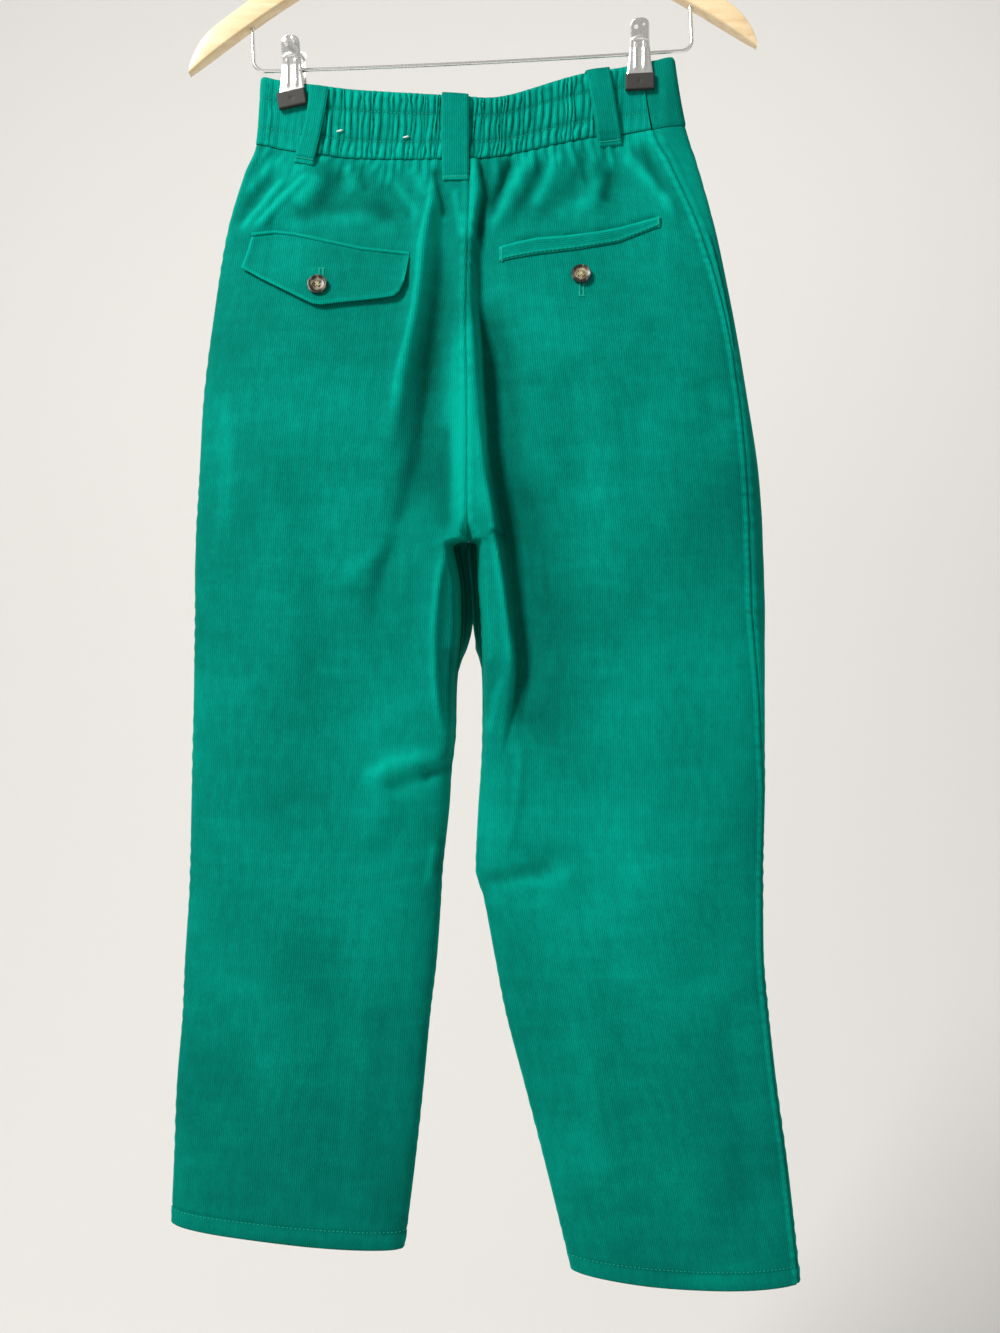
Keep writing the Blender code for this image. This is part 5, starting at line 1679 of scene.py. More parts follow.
    def keep_apart(self, points: Array, panel: Panel, rows: Array) -> None:
        """Hold a panel's inner column clear of the panels that it is sewn to or touches.

        Args:
            points: Points of one of its faces, which are moved.
            panel: The panel.
            rows: Section positions of its rows.
        """
        gap = 0.5 * self.seam_gap
        column = 0 if panel.side is Side.BACK else -1
        centre, other = (column_at(table, "in_x", rows) for table in (LEFT, RIGHT))
        for row, position in enumerate(rows):
            x, y = points[row, :, 0], points[row, column, 1]
            if position <= FORM.crotch:
                points[row, :, 0] = panel.half.held_off(x, centre[row], gap)
            if position >= FORM.crotch:
                points[row, column, 1] = min(y, -gap) if panel.side is Side.BACK else max(y, gap)
            if position > FORM.crotch and panel.side is Side.FRONT:
                middle = 0.5 * (centre[row] + other[row]) + 0.45 * (points[row, :, 1] - 12.0)
                points[row, :, 0] = panel.half.held_off(x, middle, gap)

    def build(self) -> None:
        """Build all four panels."""
        for panel in PANELS:
            self.build_panel(panel)


@dataclass
class Waistband(Sewn):
    """Gathered elastic band at the back and the smooth band at the front."""

    cloth: float = 2.8
    seam_gap: float = 0.08
    channels: tuple[float, float] = (0.36, 0.72)
    knots: tuple[float, ...] = (0.0, 0.18, 0.36, 0.54, 0.72, 0.86, 1.0)
    column: float = 0.62
    pitch: float = 5.1
    ridge: float = 1.8
    plain: float = 14.0
    front_columns: int = 120
    dash: float = 3.0
    dashes: tuple[tuple[float, float], ...] = ((-94.0, 30.0), (-42.0, 37.0))

    def gathers(self, run: Array, level: Array) -> Array:
        """Height of the gathers: rounded ridges with sharp valleys, different in each channel.

        Args:
            run: Length along the band.
            level: Share of the band's height, from its top.

        Returns:
            Heights in millimetres.
        """
        rng = np.random.default_rng(SEED + 3)
        total = run.max()
        valleys = [0.0]
        while valleys[-1] < total + 12.0:
            tight = 1.0 - 0.34 * math.exp(-(((valleys[-1] - 0.5 * total) / 75.0) ** 2))
            valleys.append(valleys[-1] + tight * self.pitch * rng.uniform(0.5, 1.62))
        valleys = np.array(valleys)
        knots = np.array(self.knots)
        wander = rng.uniform(-1.25, 1.25, (len(knots), len(valleys)))
        size = rng.uniform(0.35, 1.35, (len(knots), len(valleys)))
        heights = np.zeros_like(run)
        for row in range(run.shape[0]):
            here = level[row, 0]
            lines = valleys + [np.interp(here, knots, wander[:, k]) for k in range(len(valleys))]
            sizes = np.array([np.interp(here, knots, size[:, k]) for k in range(len(valleys))])
            count = np.interp(run[row], lines, np.arange(len(lines)))
            inside = count - np.floor(count)
            heights[row] = np.sin(math.pi * inside) ** 0.75 * sizes[np.floor(count).astype(int) % len(sizes)]
        return heights

    def build_back(self) -> None:
        """Build the elasticated band with three channels, its stitch rows and two white tacks."""
        levels = np.concatenate([[0.0, 0.008, 0.02], np.linspace(0.04, 0.95, 38), [0.97, 0.985, 0.995]])
        parts = []
        for half in (Half.LEFT, Half.RIGHT):
            top = TABLES[half][0]
            width = abs(top.in_x - top.out_x)
            first = top.seam
            count = int(round((width - first) / self.column))
            offsets = np.concatenate([[first, first + 0.3], np.linspace(first + self.column, width, count)])
            turn = -FORM.turn_of(offsets / width)
            points = FORM.surface(half, turn[None, :], levels[:, None])
            parts.append(points if half is Half.LEFT else points[:, -2::-1])
        points = np.concatenate(parts, axis=1)
        normal = -grid_normals(points)
        normal[..., 2] = 0.0
        normal = unit(normal)
        normal *= np.sign(-normal[:, points.shape[1] // 2, 1])[:, None, None]
        run = run_along(points)
        level = np.broadcast_to(levels[:, None], run.shape)
        height = -(points[-1, :, 2] - points[0, :, 2])[None, :] * level
        bottom = height[-1:, :]
        free = ease(FORM.clip_flat - 2.0, FORM.clip_flat + 12.0, FORM.from_clips(points[..., 0]))
        ends = ease(0.4 * self.plain, self.plain, run) * ease(0.2 * self.plain, self.plain, run.max() - run)
        raised = self.ridge * self.gathers(run, level) * (0.2 + 0.8 * free * ends)
        puff = np.ones_like(run)
        for low, high in zip((0.0,) + self.channels, self.channels + (1.0,)):
            local = np.clip((level - low) / (high - low), 0.0, 1.0)
            inside = (level >= low) & (level <= high)
            puff = np.where(inside, 0.35 + 0.65 * np.sin(math.pi * local) ** 0.6, puff)
        outside = 0.5 * self.cloth + raised * puff
        for share in self.channels:
            outside -= 0.15 * bump(share, 0.016, level)
        outside -= 0.9 * bump(0.0, 1.4, height) + 0.45 * bump(0.0, 1.0, bottom - height)
        inner = points - normal * (0.5 * self.cloth - 0.8 * bump(0.0, 1.4, height))[..., None]
        outer = points + normal * outside[..., None]
        for face in (inner, outer):
            face[:, 0, 1] -= 0.5 * self.seam_gap
            face[:, -1, 0] -= 0.5 * self.seam_gap
        uv = np.stack([run, height], axis=-1) * MM
        # Painted highlight on the gathers' crests and painted shade in the valleys between them, on a lighter
        # tone
        wear_and_painted_light = 0.35 + np.clip((outside - smoothed(outside, 6)) / 0.8, -1.2, 0.9)
        obj = cloth_wall("waistband_back", inner, outer, uv, self.finishes.cord, wear_and_painted_light)
        for number, share in enumerate(self.channels):
            row = int(np.argmin(np.abs(levels - share)))
            self.sewing.row(f"band_stitches_{number + 1}", outer[row, 6:-6], normal[row, 6:-6])
        dashes = []
        for x, drop in self.dashes:
            ends, out = resting(outer, [x - self.dash, x + self.dash], [drop + 0.8, drop - 0.8])
            dashes.append(Strand(ends[0] + 0.8 * out[0], ends[1] + 0.8 * out[0], out[0], 0.75))
        self.sewing.lay("band_white_dashes", dashes, white=True)

    def build_front(self, half: Half, node: str, flat: tuple[float, float]) -> None:
        """Build the smooth front band of one side, from the side seam to the centre front.

        Args:
            half: The side.
            node: The solid that it stands for.
            flat: Cut size in metres; not used.
        """
        levels = np.concatenate([[0.0, 0.01, 0.025], np.linspace(0.06, 0.94, 20), [0.97, 0.985, 0.995]])
        seam = FORM.seam_turn(half, levels)[:, None]
        share = np.linspace(0.0, 1.0, 400)[None, :]
        trial = seam + (math.pi - seam) * share
        run = run_along(FORM.surface(half, trial, levels[:, None]))
        turn = np.array([np.interp(np.linspace(0.0, run[row, -1], self.front_columns), run[row], trial[row])
                         for row in range(len(levels))])
        points = FORM.surface(half, turn, levels[:, None])
        normal = grid_normals(points)
        if half is Half.RIGHT:
            normal = -normal
        normal[..., 2] = 0.0
        normal = unit(normal)
        away = unit(points[:, 2] - points[:, 0])
        points[:, 0] += away * 0.5 * self.seam_gap
        length = run_along(points)
        height = points[:1, :, 2] - points[..., 2]
        bottom = height[-1:, :]
        edge = np.minimum(length, length[:, -1:] - length)
        outside = 0.5 * self.cloth - 0.9 * bump(0.0, 1.4, height) - 0.8 * bump(0.0, 1.3, bottom - height)
        outside -= 0.8 * bump(0.0, 1.3, edge)
        free = ease(6.0, 30.0, FORM.from_clips(points[..., 0]))
        outside += 0.25 * np.sin(length / 9.0 + 1.5 * np.sin(height / 14.0)) * free
        inner = points - normal * (0.5 * self.cloth)
        outer = points + normal * outside[..., None]
        centre = column_at(LEFT, "in_x", levels)
        for face in (inner, outer):
            face[..., 0] = half.held_off(face[..., 0], centre[:, None], 0.5 * self.seam_gap)
        uv = np.stack([length, height], axis=-1) * MM
        obj = cloth_wall(node, inner, outer, uv, self.finishes.cord)

    def build(self) -> None:
        """Build the three parts of the band."""
        self.build_back()
        self.build_front(Half.LEFT, "waistband_front_left", (0.170, 0.052))
        self.build_front(Half.RIGHT, "waistband_front_right", (0.192, 0.052))


class Station(NamedTuple):
    """One place on a belt loop's middle line."""

    x: float
    drop: float
    width: float


class Loop(NamedTuple):
    """A belt loop; seam: share of its length at which it passes the waistband's lower edge."""

    node: str
    top: Station
    middle: Station
    end: Station
    seam: float
    side: Side


LOOPS = (
    Loop("belt_loop_back_left", Station(-110, -5, 15), Station(-112.6, 17, 13.5), Station(-122.6, 54.5, 16.5),
         0.89, Side.BACK),
    Loop("belt_loop_back_centre", Station(-3.5, 0.5, 20.5), Station(-3.5, 30, 20.5), Station(-3.5, 71, 20.5),
         0.77, Side.BACK),
    Loop("belt_loop_back_right", Station(106, -21.5, 19), Station(110.7, 5, 19), Station(117, 40, 20),
         0.79, Side.BACK),
    Loop("belt_loop_front_left", Station(-84, -3, 20), Station(-86, 28, 20), Station(-88, 64, 20),
         0.83, Side.FRONT),
    Loop("belt_loop_front_right", Station(95, -16, 20), Station(98, 14, 20), Station(101, 50, 20),
         0.83, Side.FRONT),
)


@dataclass
class BeltLoops(Sewn):
    """Folded strips sewn at the band's top edge and below the band."""

    cloth: float = 2.0
    stand: float = 1.4
    on_band: float = 3.2
    on_panel: float = 1.5
    tack_in: float = 2.6

    def build_loop(self, loop: Loop) -> None:
        """Build one loop with its folded ends and bar tack.

        Args:
            loop: The loop.
        """
        along = np.array((0.0, 0.006, 0.016, *np.linspace(0.03, 0.97, 46), 0.984, 0.994, 1.0))[:, None]
        across = np.array((-0.5, -0.485, -0.46, *np.linspace(-0.42, 0.42, 13), 0.46, 0.485, 0.5))[None, :]
        split = (loop.middle.drop - loop.top.drop) / (loop.end.drop - loop.top.drop)
        first = (along - split) * (along - 1.0) / split
        second = along * (1.0 - along) / (split * (1.0 - split))
        third = along * (along - split) / (1.0 - split)
        centre, drop, width = (first * start + second * middle + third * end
                               for start, middle, end in zip(loop.top, loop.middle, loop.end))
        slant = math.atan2(loop.end.x - loop.top.x, loop.end.drop - loop.top.drop)
        x = centre + across * width * math.cos(slant)
        drop = drop - across * width * math.sin(slant)
        on_band = self.on_band + self.stand * np.sin(math.pi * along)
        lowered = ease(loop.seam + 0.02, 1.0, along)
        inside = on_band + (self.on_panel - on_band) * lowered + 0 * across
        length = math.dist(loop.top[:2], loop.end[:2])
        from_end = np.minimum(along, 1.0 - along) * length
        from_edge = (0.5 - np.abs(across)) * width
        round_off = 0.75 * bump(0.0, 0.8, from_edge) + 0.75 * bump(0.0, 0.8, from_end)
        seams = 0.15 * bump(4.5, 1.2, from_edge)
        down = along * length
        tack = 0.55 * bump(length - self.tack_in, 0.9, down)
        above_tack = 0.25 * bump(length - 2.0 * self.tack_in, 1.6, down)
        outside = inside + self.cloth - round_off - seams - tack + above_tack
        inner = FORM.on_cloth(x, drop, inside + 0.3 * bump(0.0, 0.8, from_edge), loop.side, fine=False)
        outer = FORM.on_cloth(x, drop, outside, loop.side, fine=False)
        uv = np.stack([across * width, down + 0 * across], axis=-1) * MM
        # A lighter tone, and a painted highlight along the folded lower end
        wear_and_painted_light = 0.35 + 0.5 * bump(length - 1.0, 1.6, down) + 0 * across
        obj = cloth_wall(loop.node, inner, outer, uv, self.finishes.cord, wear_and_painted_light)
        level = int(np.argmin(np.abs(down[:, 0] - (length - self.tack_in))))
        out = unit(outer - inner)
        self.sewing.lay(loop.node + "_tack", self.sewing.satin(outer[level, 2:-2], out[level, 2:-2], 1.3))

    def build(self) -> None:
        """Build every loop."""
        for loop in LOOPS:
            self.build_loop(loop)


@dataclass
class BackPockets(Sewn):
    """Pointed flap with its jet on the left, welt on the right."""

    cloth: float = 1.8
    base: float = 1.5
    jet_height: float = 3.6
    seam_gap: float = 0.3
    slit_width: float = 3.0
    bar_length: float = 5.4
    shares: tuple[float, ...] = (0.0, 0.004, 0.01, *np.linspace(0.018, 0.982, 110), 0.99, 0.996, 1.0)

    def patch(self, node: str, x: Array, drop: Array, low: Array, high: Array,
              flat: tuple[float, float], area: float, wear_and_painted_light: Array,
              crosswise: bool = False) -> Array:
        """Build and dress a piece that lies on the cloth.

        Args:
            node: The solid that it stands for.
            x: x of each of its points.
            drop: Their drops.
            low: Stand of its underside above the middle of the cloth.
            high: The same for its face.
            flat: Cut size in metres; not used.
            area: Cut area in square metres; not used.
            wear_and_painted_light: Painted highlight and shade for its colour.
            crosswise: Whether the wales run along the piece instead of down it.

        Returns:
            The points of its face.
        """
        inner = FORM.on_cloth(x, drop, low)
        outer = FORM.on_cloth(x, drop, high)
        half = Half.LEFT if x.mean() < LEFT[0].in_x else Half.RIGHT
        uv = np.stack([x - grain_at(half, drop), drop + 0 * x], axis=-1) * MM
        if crosswise:
            uv = np.stack([drop - drop[:1], x], axis=-1) * MM
        obj = cloth_wall(node, inner, outer, uv, self.finishes.cord, wear_and_painted_light + 0 * x)
        return outer

    def buttonhole(self, name: str, x: float, top: float, end: float, grid: Array | None) -> None:
        """Sew an upright buttonhole: two satin lips, a bar at its open end and a bar below.

        Args:
            name: The object's name.
            x: x of the slit.
            top: Drop of its upper end.
            end: Drop of its lower end.
            grid: Face of the piece that it is sewn in, or None for the panel.
        """
        strands = []
        lip, bar = 0.5 * self.slit_width, 0.5 * self.bar_length
        for start, finish, width in (((-lip, top), (-lip, end), 1.9), ((lip, top), (lip, end), 1.9),
                                     ((-bar, top), (bar, top), 1.5), ((-bar, end), (bar, end), 1.5)):
            across = x + np.linspace(start[0], finish[0], 12)
            down = np.linspace(start[1], finish[1], 12)
            strands += self.sewing.satin(*(FORM.on_face(across, down, Side.BACK) if grid is None else
                                           resting(grid, across, down)), width)
        self.sewing.lay(name, strands)

    def build_jet(self) -> None:
        """Build the narrow folded jet above the flap."""
        across = np.linspace(0.0, 1.0, 110)[None, :]
        down = np.array([0.0, 0.08, 0.2, 0.36, 0.5, 0.64, 0.8, 0.92, 1.0])[:, None]
        x = JET_LINE[0][0] + (JET_LINE[-1][0] - JET_LINE[0][0]) * across + 0 * down
        drop = line_at(JET_LINE, x) + self.jet_height * down
        crown = 1.5 * np.sqrt(np.clip(1.0 - (2.0 * down - 1.0) ** 2, 0.0, 1.0)) + 0.1
        taper = between(0.0, 0.03, 0.97, 1.0, across)
        low = self.base - 0.4 + 0 * x
        # Painted highlight along the jet's rounded crown
        self.patch("pocket_jet", x, drop, low, low + 0.25 + crown * (0.35 + 0.65 * taper), (0.0125, 0.125),
                   0.0005, 0.4 * crown, crosswise=True)

    def build_flap(self) -> None:
        """Build the flap with its point, rounded rim and buttonhole."""
        down = np.array((*np.linspace(0.0, 0.9, 34), 0.925, 0.95, 0.97, 0.985, 1.0))[:, None]
        across = np.array(self.shares)[None, :]
        left = JET_LINE[0][0] + (FLAP_EDGE[0][0] - JET_LINE[0][0]) * down
        right = JET_LINE[-1][0] + (FLAP_EDGE[-1][0] - JET_LINE[-1][0]) * down
        x = left + (right - left) * across
        top = line_at(JET_LINE, x) + self.jet_height + self.seam_gap
        drop = top + (line_at(FLAP_EDGE, x) - top) * down
        rim = np.maximum(np.minimum(line_at(FLAP_EDGE, x) - drop, np.minimum(x - left, right - x)), 0.0)
        low = (self.base + 1.9 * down * down + 0.5 * bump(0.0, 9.0, rim) * down
               + 1.5 * down * ease(0.72, 1.0, across))
        high = low + self.cloth - 0.8 * bump(0.0, 0.9, rim) + 0.25 * bump(2.0, 1.2, rim)
        high -= 0.6 * bump(0.0, 1.2, drop - top)
        # Painted highlight along the flap's rim
        wear_and_painted_light = 0.9 * bump(0.5, 1.6, rim)
        face = self.patch("pocket_flap", x, drop, low, high, (0.130, 0.056), 0.0058, wear_and_painted_light)
        self.buttonhole("flap_buttonhole", -106.0, 142.5, 156.5, face)

    def build_welt(self) -> None:
        """Build the welt, a little open along its mouth."""
        across = np.array(self.shares)[None, :]
        down = np.array((0.0, 0.03, 0.07, *np.linspace(0.12, 0.9, 14), 0.94, 0.975, 1.0))[:, None]
        x = WELT_MOUTH[0][0] + (WELT_MOUTH[-1][0] - WELT_MOUTH[0][0]) * across + 0 * down
        top = line_at(WELT_MOUTH, x)
        seam = line_at(WELT_SEAM, x)
        drop = top + (seam - top) * down
        low = self.base + 0.6 * np.sin(math.pi * across) * (1.0 - down)
        ends = np.minimum(across, 1.0 - across) * (WELT_MOUTH[-1][0] - WELT_MOUTH[0][0])
        high = low + self.cloth - 0.7 * bump(0.0, 0.9, drop - top) - 1.2 * bump(0.0, 1.0, seam - drop)
        high -= 0.7 * bump(0.0, 0.9, ends)
        # A lighter tone and painted highlights along the welt's mouth, lower seam and ends
        wear_and_painted_light = (0.25 + 0.9 * bump(0.8, 1.4, drop - top) + 0.8 * bump(1.6, 1.3, seam - drop)
                + 0.8 * bump(1.5, 1.2, ends))
        face = self.patch("pocket_welt", x, drop, low, high, (0.130, 0.030), 0.0019, wear_and_painted_light, crosswise=True)
        along = WELT_MOUTH[0][0] + (WELT_MOUTH[-1][0] - WELT_MOUTH[0][0]) * np.linspace(0.015, 0.985, 60)
        self.sewing.row("welt_lower_stitches", *resting(face, along, line_at(WELT_SEAM, along) - 1.9))
        bars = []
        for end in (WELT_MOUTH[0][0] + 1.6, WELT_MOUTH[-1][0] - 1.6):
            down = np.linspace(line_at(WELT_MOUTH, end) + 0.6, line_at(WELT_SEAM, end) + 0.4, 8)
            bars += self.sewing.satin(*resting(face, end, down), 1.6)
        self.sewing.lay("welt_bar_tacks", bars)
        self.buttonhole("welt_buttonhole", 93.6, 150.0, 164.0, None)

    def build(self) -> None:
        """Build both pockets."""
        self.build_jet()
        self.build_flap()
        self.build_welt()


@dataclass
class Closure(Sewn):
    """Underlap and closed zip behind the centre front."""

    top: float = 60.0
    end: float = 205.0
    width: float = 39.0
    cloth: float = 1.6
    gap: float = 1.0
    zip_cloth: float = 0.9
    lay_gap: float = 0.5
    tooth: float = 1.5
    lap: float = 34.0
    row_gap: float = 6.0
    bend: float = 172.0

    def build(self) -> None:
        """Build the tape, its teeth and the underlap."""
        along = np.linspace(0.0, 1.0, 60)[:, None]
        across = np.linspace(-0.5, 0.5, 25)[None, :]
        drop = self.top + (self.end - self.top) * along + 0 * across
        centre = centre_line(drop)
        depth = 1.0 + self.gap
        under = depth + self.zip_cloth + self.lay_gap
        for node, share, near, far, material, slot, flat in (
                ("fly_zip", 0.667, depth, depth + self.zip_cloth, self.finishes.tape, "zip_tape",
                 (0.026, 0.145)),
                ("fly_underlap", 1.0, under, under + self.cloth, self.finishes.cord, "corduroy",
                 (0.078, 0.145))):
            x = centre + across * share * self.width
            inner = FORM.on_cloth(x, drop, -far, Side.FRONT, fine=False)
            outer = FORM.on_cloth(x, drop, -near, Side.FRONT, fine=False)
            uv = np.stack([x, drop], axis=-1) * MM
            obj = cloth_wall(node, inner, outer, uv, material)
        self.build_teeth(depth)
        self.build_stitching()

    def build_teeth(self, depth: float) -> None:
        """Mould the zip's teeth, which mesh along the middle of the tape.

        Args:
            depth: Distance from the front's cloth to the tape's face.
        """
        bm = bmesh.new()
        for number, drop in enumerate(np.arange(self.top + 3.0, self.end - 3.0, self.tooth)):
            x = centre_line(drop) + (-1.1 if number % 2 else 1.1)
            at = FORM.on_cloth([x], [drop], [-depth + 0.45], Side.FRONT, fine=False)[0]
            add_box(bm, at, (3.4, 0.8, 0.62 * self.tooth))
        teeth = new_object("fly_zip_teeth", mesh_from(bm, "fly_zip_teeth"), self.finishes.tape_teeth)
        settle(teeth, None)

    def build_stitching(self) -> None:
        """Two rows of the fly's curved topstitching and the tack at its foot, on the lap's side."""
        centre = centre_line(self.end)
        angle = np.linspace(0.0, 0.5 * math.pi, 24)
        for number in range(2):
            reach = self.lap - self.row_gap * number
            foot = self.end + 2.0 - self.row_gap * number
            x = np.concatenate([np.full(30, centre + reach), centre + 1.5 + (reach - 1.5) * np.cos(angle)])
            drop = np.concatenate([np.linspace(self.top - 4.0, self.bend, 30),
                                   self.bend + (foot - self.bend) * np.sin(angle)])
            self.sewing.row(f"fly_stitches_{number + 1}", *FORM.on_face(x, drop, Side.FRONT))
        place = FORM.on_face(centre + np.linspace(2.0, 9.0, 8), np.full(8, self.end - 1.0), Side.FRONT)
        self.sewing.lay("fly_bar_tack", self.sewing.satin(*place, 1.6))


# ------------------------------
# Buttons and hanger


class Spot(NamedTuple):
    """A button's node, place and stand: from the middle of the cloth to the button's back."""

    node: str
    x: float
    drop: float
    stand: float
    side: Side


BUTTONS = (
    Spot("button_flap", -108.2, 157.6, 5.0, Side.BACK),
    Spot("button_welt", 93.2, 147.4, 1.8, Side.BACK),
    Spot("button_waist", 20, 24, 1.8, Side.FRONT),
)


@dataclass
class Buttons:
    """Four-hole horn buttons with a raised rim, sewn on."""

    finishes: Finishes
    radius: float = 7.7
    thickness: float = 3.0
    hole: float = 0.9
    spread: float = 1.7

    def build_button(self, spot: Spot) -> None:
        """Turn one button, drill it and place it on the cloth with its thread.

        Args:
            spot: Its place.
        """
        rim, high = self.radius, self.thickness
        profile = ((0, 0), (0.72 * rim, 0), (0.9 * rim, 0.35), (0.98 * rim, 1.0), (rim, 0.6 * high),
                   (0.985 * rim, 0.82 * high), (0.93 * rim, 0.97 * high), (0.88 * rim, high),
                   (0.8 * rim, 0.92 * high), (0.7 * rim, 0.7 * high), (0.6 * rim, 0.62 * high),
                   (0, 0.6 * high))
        bm = bmesh.new()
        verts = [bm.verts.new(Vector((radius, 0.0, height)) * MM) for radius, height in profile]
        edges = [bm.edges.new(pair) for pair in zip(verts, verts[1:])]
        bmesh.ops.spin(bm, geom=verts + edges, cent=(0, 0, 0), axis=(0, 0, 1), angle=2 * math.pi, steps=56,
                       use_merge=True)
        bmesh.ops.remove_doubles(bm, verts=bm.verts, dist=1e-6)
        bmesh.ops.recalc_face_normals(bm, faces=bm.faces)
        obj = new_object(spot.node + "_horn", facing_out(mesh_from(bm, spot.node)), self.finishes.horn, 30.0)
        feet = [(x * self.spread, z * self.spread) for x in (-1, 1) for z in (-1, 1)]
        holes = rods([(Vector((*foot, -1.0)), Vector((*foot, high + 1.0))) for foot in feet], self.hole)
        cut(obj, holes, "DIFFERENCE")
        place = FORM.on_cloth([spot.x], [spot.drop], [spot.stand], spot.side)[0]
        face = Vector(FORM.facing(np.array([spot.x]), np.array([spot.drop]), spot.side)[0])
        matrix = Matrix.Translation(Vector(place) * MM) @ face.to_track_quat("Z", "X").to_matrix().to_4x4()
        away = [math.hypot(vert.co.x, vert.co.y) / MM for vert in obj.data.vertices]
        shown = obj.data.attributes.new("rim", "FLOAT", "POINT")
        shown.data.foreach_set("value", ease(0.5 * rim, 0.72 * rim, away))
        obj.data.transform(matrix)
        shade(obj.data, 30.0)
        settle(obj, spot.node)
        bm = bmesh.new()
        for side in (-1, 1):
            for strand in (-0.28, 0.28):
                level = 0.6 * high + 0.3 + 0.12 * side
                way = 2.0 * self.spread * Vector((1.0, side, 0.0))
                turn = way.to_track_quat("Z", "Y").to_matrix().to_4x4()
                size = Matrix.Diagonal((0.3, 0.3, 0.5 * way.length + 0.35, 1.0))
                at = Matrix.Translation((strand, 0.0, level))
                bmesh.ops.create_icosphere(bm, subdivisions=2, radius=1.0,
                                           matrix=matrix @ Matrix.Scale(MM, 4) @ at @ turn @ size)
        name = spot.node + "_thread"
        settle(new_object(name, mesh_from(bm, name), self.finishes.straw, 180.0), None)

    def build(self) -> None:
        """Build every button."""
        for spot in BUTTONS:
            self.build_button(spot)


@dataclass
class Hanger:
    """Wooden arms, wire hook and the bent rod on which the clips slide."""

    finishes: Finishes
    tilt: float = 2.8
    reach: float = 223.0
    thick: float = 12.0
    chamfer: float = 2.4
    neck_low: float = -95.9
    fall: float = 108.7
    neck_height: float = 34.0
    arm_height: float = 20.5
    even: float = 170.0
    round_end: float = 23.0
    rod_radius: float = 1.5
    play: float = 0.35
    rod_x: float = 172.5
    rod_low: float = -203.9
    rod_sag: float = 1.6
    rod_bend: float = 8.5
    hook_wire: float = 2.0
    hook_seat: float = 17.0

    def turn(self) -> Matrix:
        """Turn of the hanger about the hook seat."""
        return Matrix.Rotation(-math.radians(self.tilt), 4, "Y")

    def arm_low(self, x: float) -> float:
        """Lower edge of the arms."""
        return self.neck_low - self.fall * (abs(x) / self.reach) ** 1.5

    def rod_level(self, x: float) -> float:
        """Height of the rod between its corners."""
        return self.rod_low - self.rod_sag * (1.0 - (x / (self.rod_x - self.rod_bend)) ** 2)

    def build_arms(self) -> None:
        """Both arms in one piece, with blind holes for the hook and for the rod."""
        stations = self.reach * np.sin(np.linspace(-0.5 * math.pi, 0.5 * math.pi, 91))
        half = 0.5 * self.thick
        corner = np.linspace(0.0, 0.5 * math.pi, 6)
        rings = []
        for x in stations:
            height = self.neck_height + (self.arm_height - self.neck_height) * min(1.0, abs(x) / self.even)
            past = max(0.0, abs(x) - (self.reach - self.round_end)) / self.round_end
            height *= math.sqrt(max(0.0, 1.0 - past * past)) * 0.86 + 0.14
            low = self.arm_low(x)
            high = low + height
            radius = min(self.chamfer, 0.4 * height)
            slim = half * (1.0 - 0.35 * past * past)
            ring = []
            for quarter, (side_y, side_z) in enumerate(((1, 1), (-1, 1), (-1, -1), (1, -1))):
                middle_z = high - radius if side_z > 0 else low + radius
                for angle in corner + 0.5 * math.pi * quarter:
                    ring.append((x, side_y * (slim - radius) + radius * math.cos(angle),
                                 middle_z + radius * math.sin(angle)))
            rings.append(ring)
        arms = tube("hanger_arms_beech", np.array(rings), self.finishes.wood, 40.0)
        neck_top = self.neck_low + self.neck_height
        neck = [(Vector((0, 0, neck_top + 5)), Vector((0, 0, neck_top - 20)))]
        cut(arms, rods(neck, self.hook_wire + self.play), "DIFFERENCE")
        mouth = self.arm_low(self.rod_x)
        sockets = [(Vector((x, 0, mouth - 12)), Vector((x, 0, mouth + 10)))
                   for x in (-self.rod_x, self.rod_x)]
        cut(arms, rods(sockets, self.rod_radius + self.play), "DIFFERENCE")
        arms.data.transform(self.turn())
        shade(arms.data, 40.0)
        settle(arms, "hanger_arms")

    def build_hook(self) -> None:
        """Steel wire hook; the inside of its top is the origin."""
        neck_top = self.neck_low + self.neck_height
        radius = self.hook_seat + self.hook_wire
        shank = [(0.0, z) for z in np.linspace(neck_top - 18.0, -48.0, 10)]
        bend = [(0.12, -46.0), (0.5, -43.5), (1.3, -41.2), (2.6, -39.2)]
        path = np.array(shank + bend + arc((0.0, -self.hook_seat), radius, -66.0, 205.0, 60))
        radii = np.full(len(path), self.hook_wire)
        radii[-4:] = self.hook_wire * np.array([1.0, 0.95, 0.8, 0.5])
        hook = tube("hanger_hook_wire", moved(wire(path, radii, 20), self.turn()), self.finishes.steel, 60.0)
        settle(hook, "hanger_hook")

    def build_rod(self) -> None:
        """Bent rod below the arms."""
        top = self.arm_low(self.rod_x) + 8.0
        corner = self.rod_low + self.rod_bend
        left = [(-self.rod_x, top), (-self.rod_x, top - 3.0), (-self.rod_x, corner + 4)]
        left += arc((-self.rod_x + self.rod_bend, corner), self.rod_bend, 180, 270, 14)
        middle = [(x, self.rod_level(x)) for x in np.linspace(-155.0, 155.0, 41)]
        right = arc((self.rod_x - self.rod_bend, corner), self.rod_bend, 270, 360, 14)
        right += [(self.rod_x, corner + 4), (self.rod_x, top - 3.0), (self.rod_x, top)]
        path = np.array(left + middle + right)
        rings = moved(wire(path, np.full(len(path), self.rod_radius), 16), self.turn())
        settle(tube("trouser_rod_wire", rings, self.finishes.steel, 60.0), "trouser_rod")

    def build(self) -> None:
        """Build the hanger without its clips."""
        self.build_arms()
        self.build_hook()
        self.build_rod()


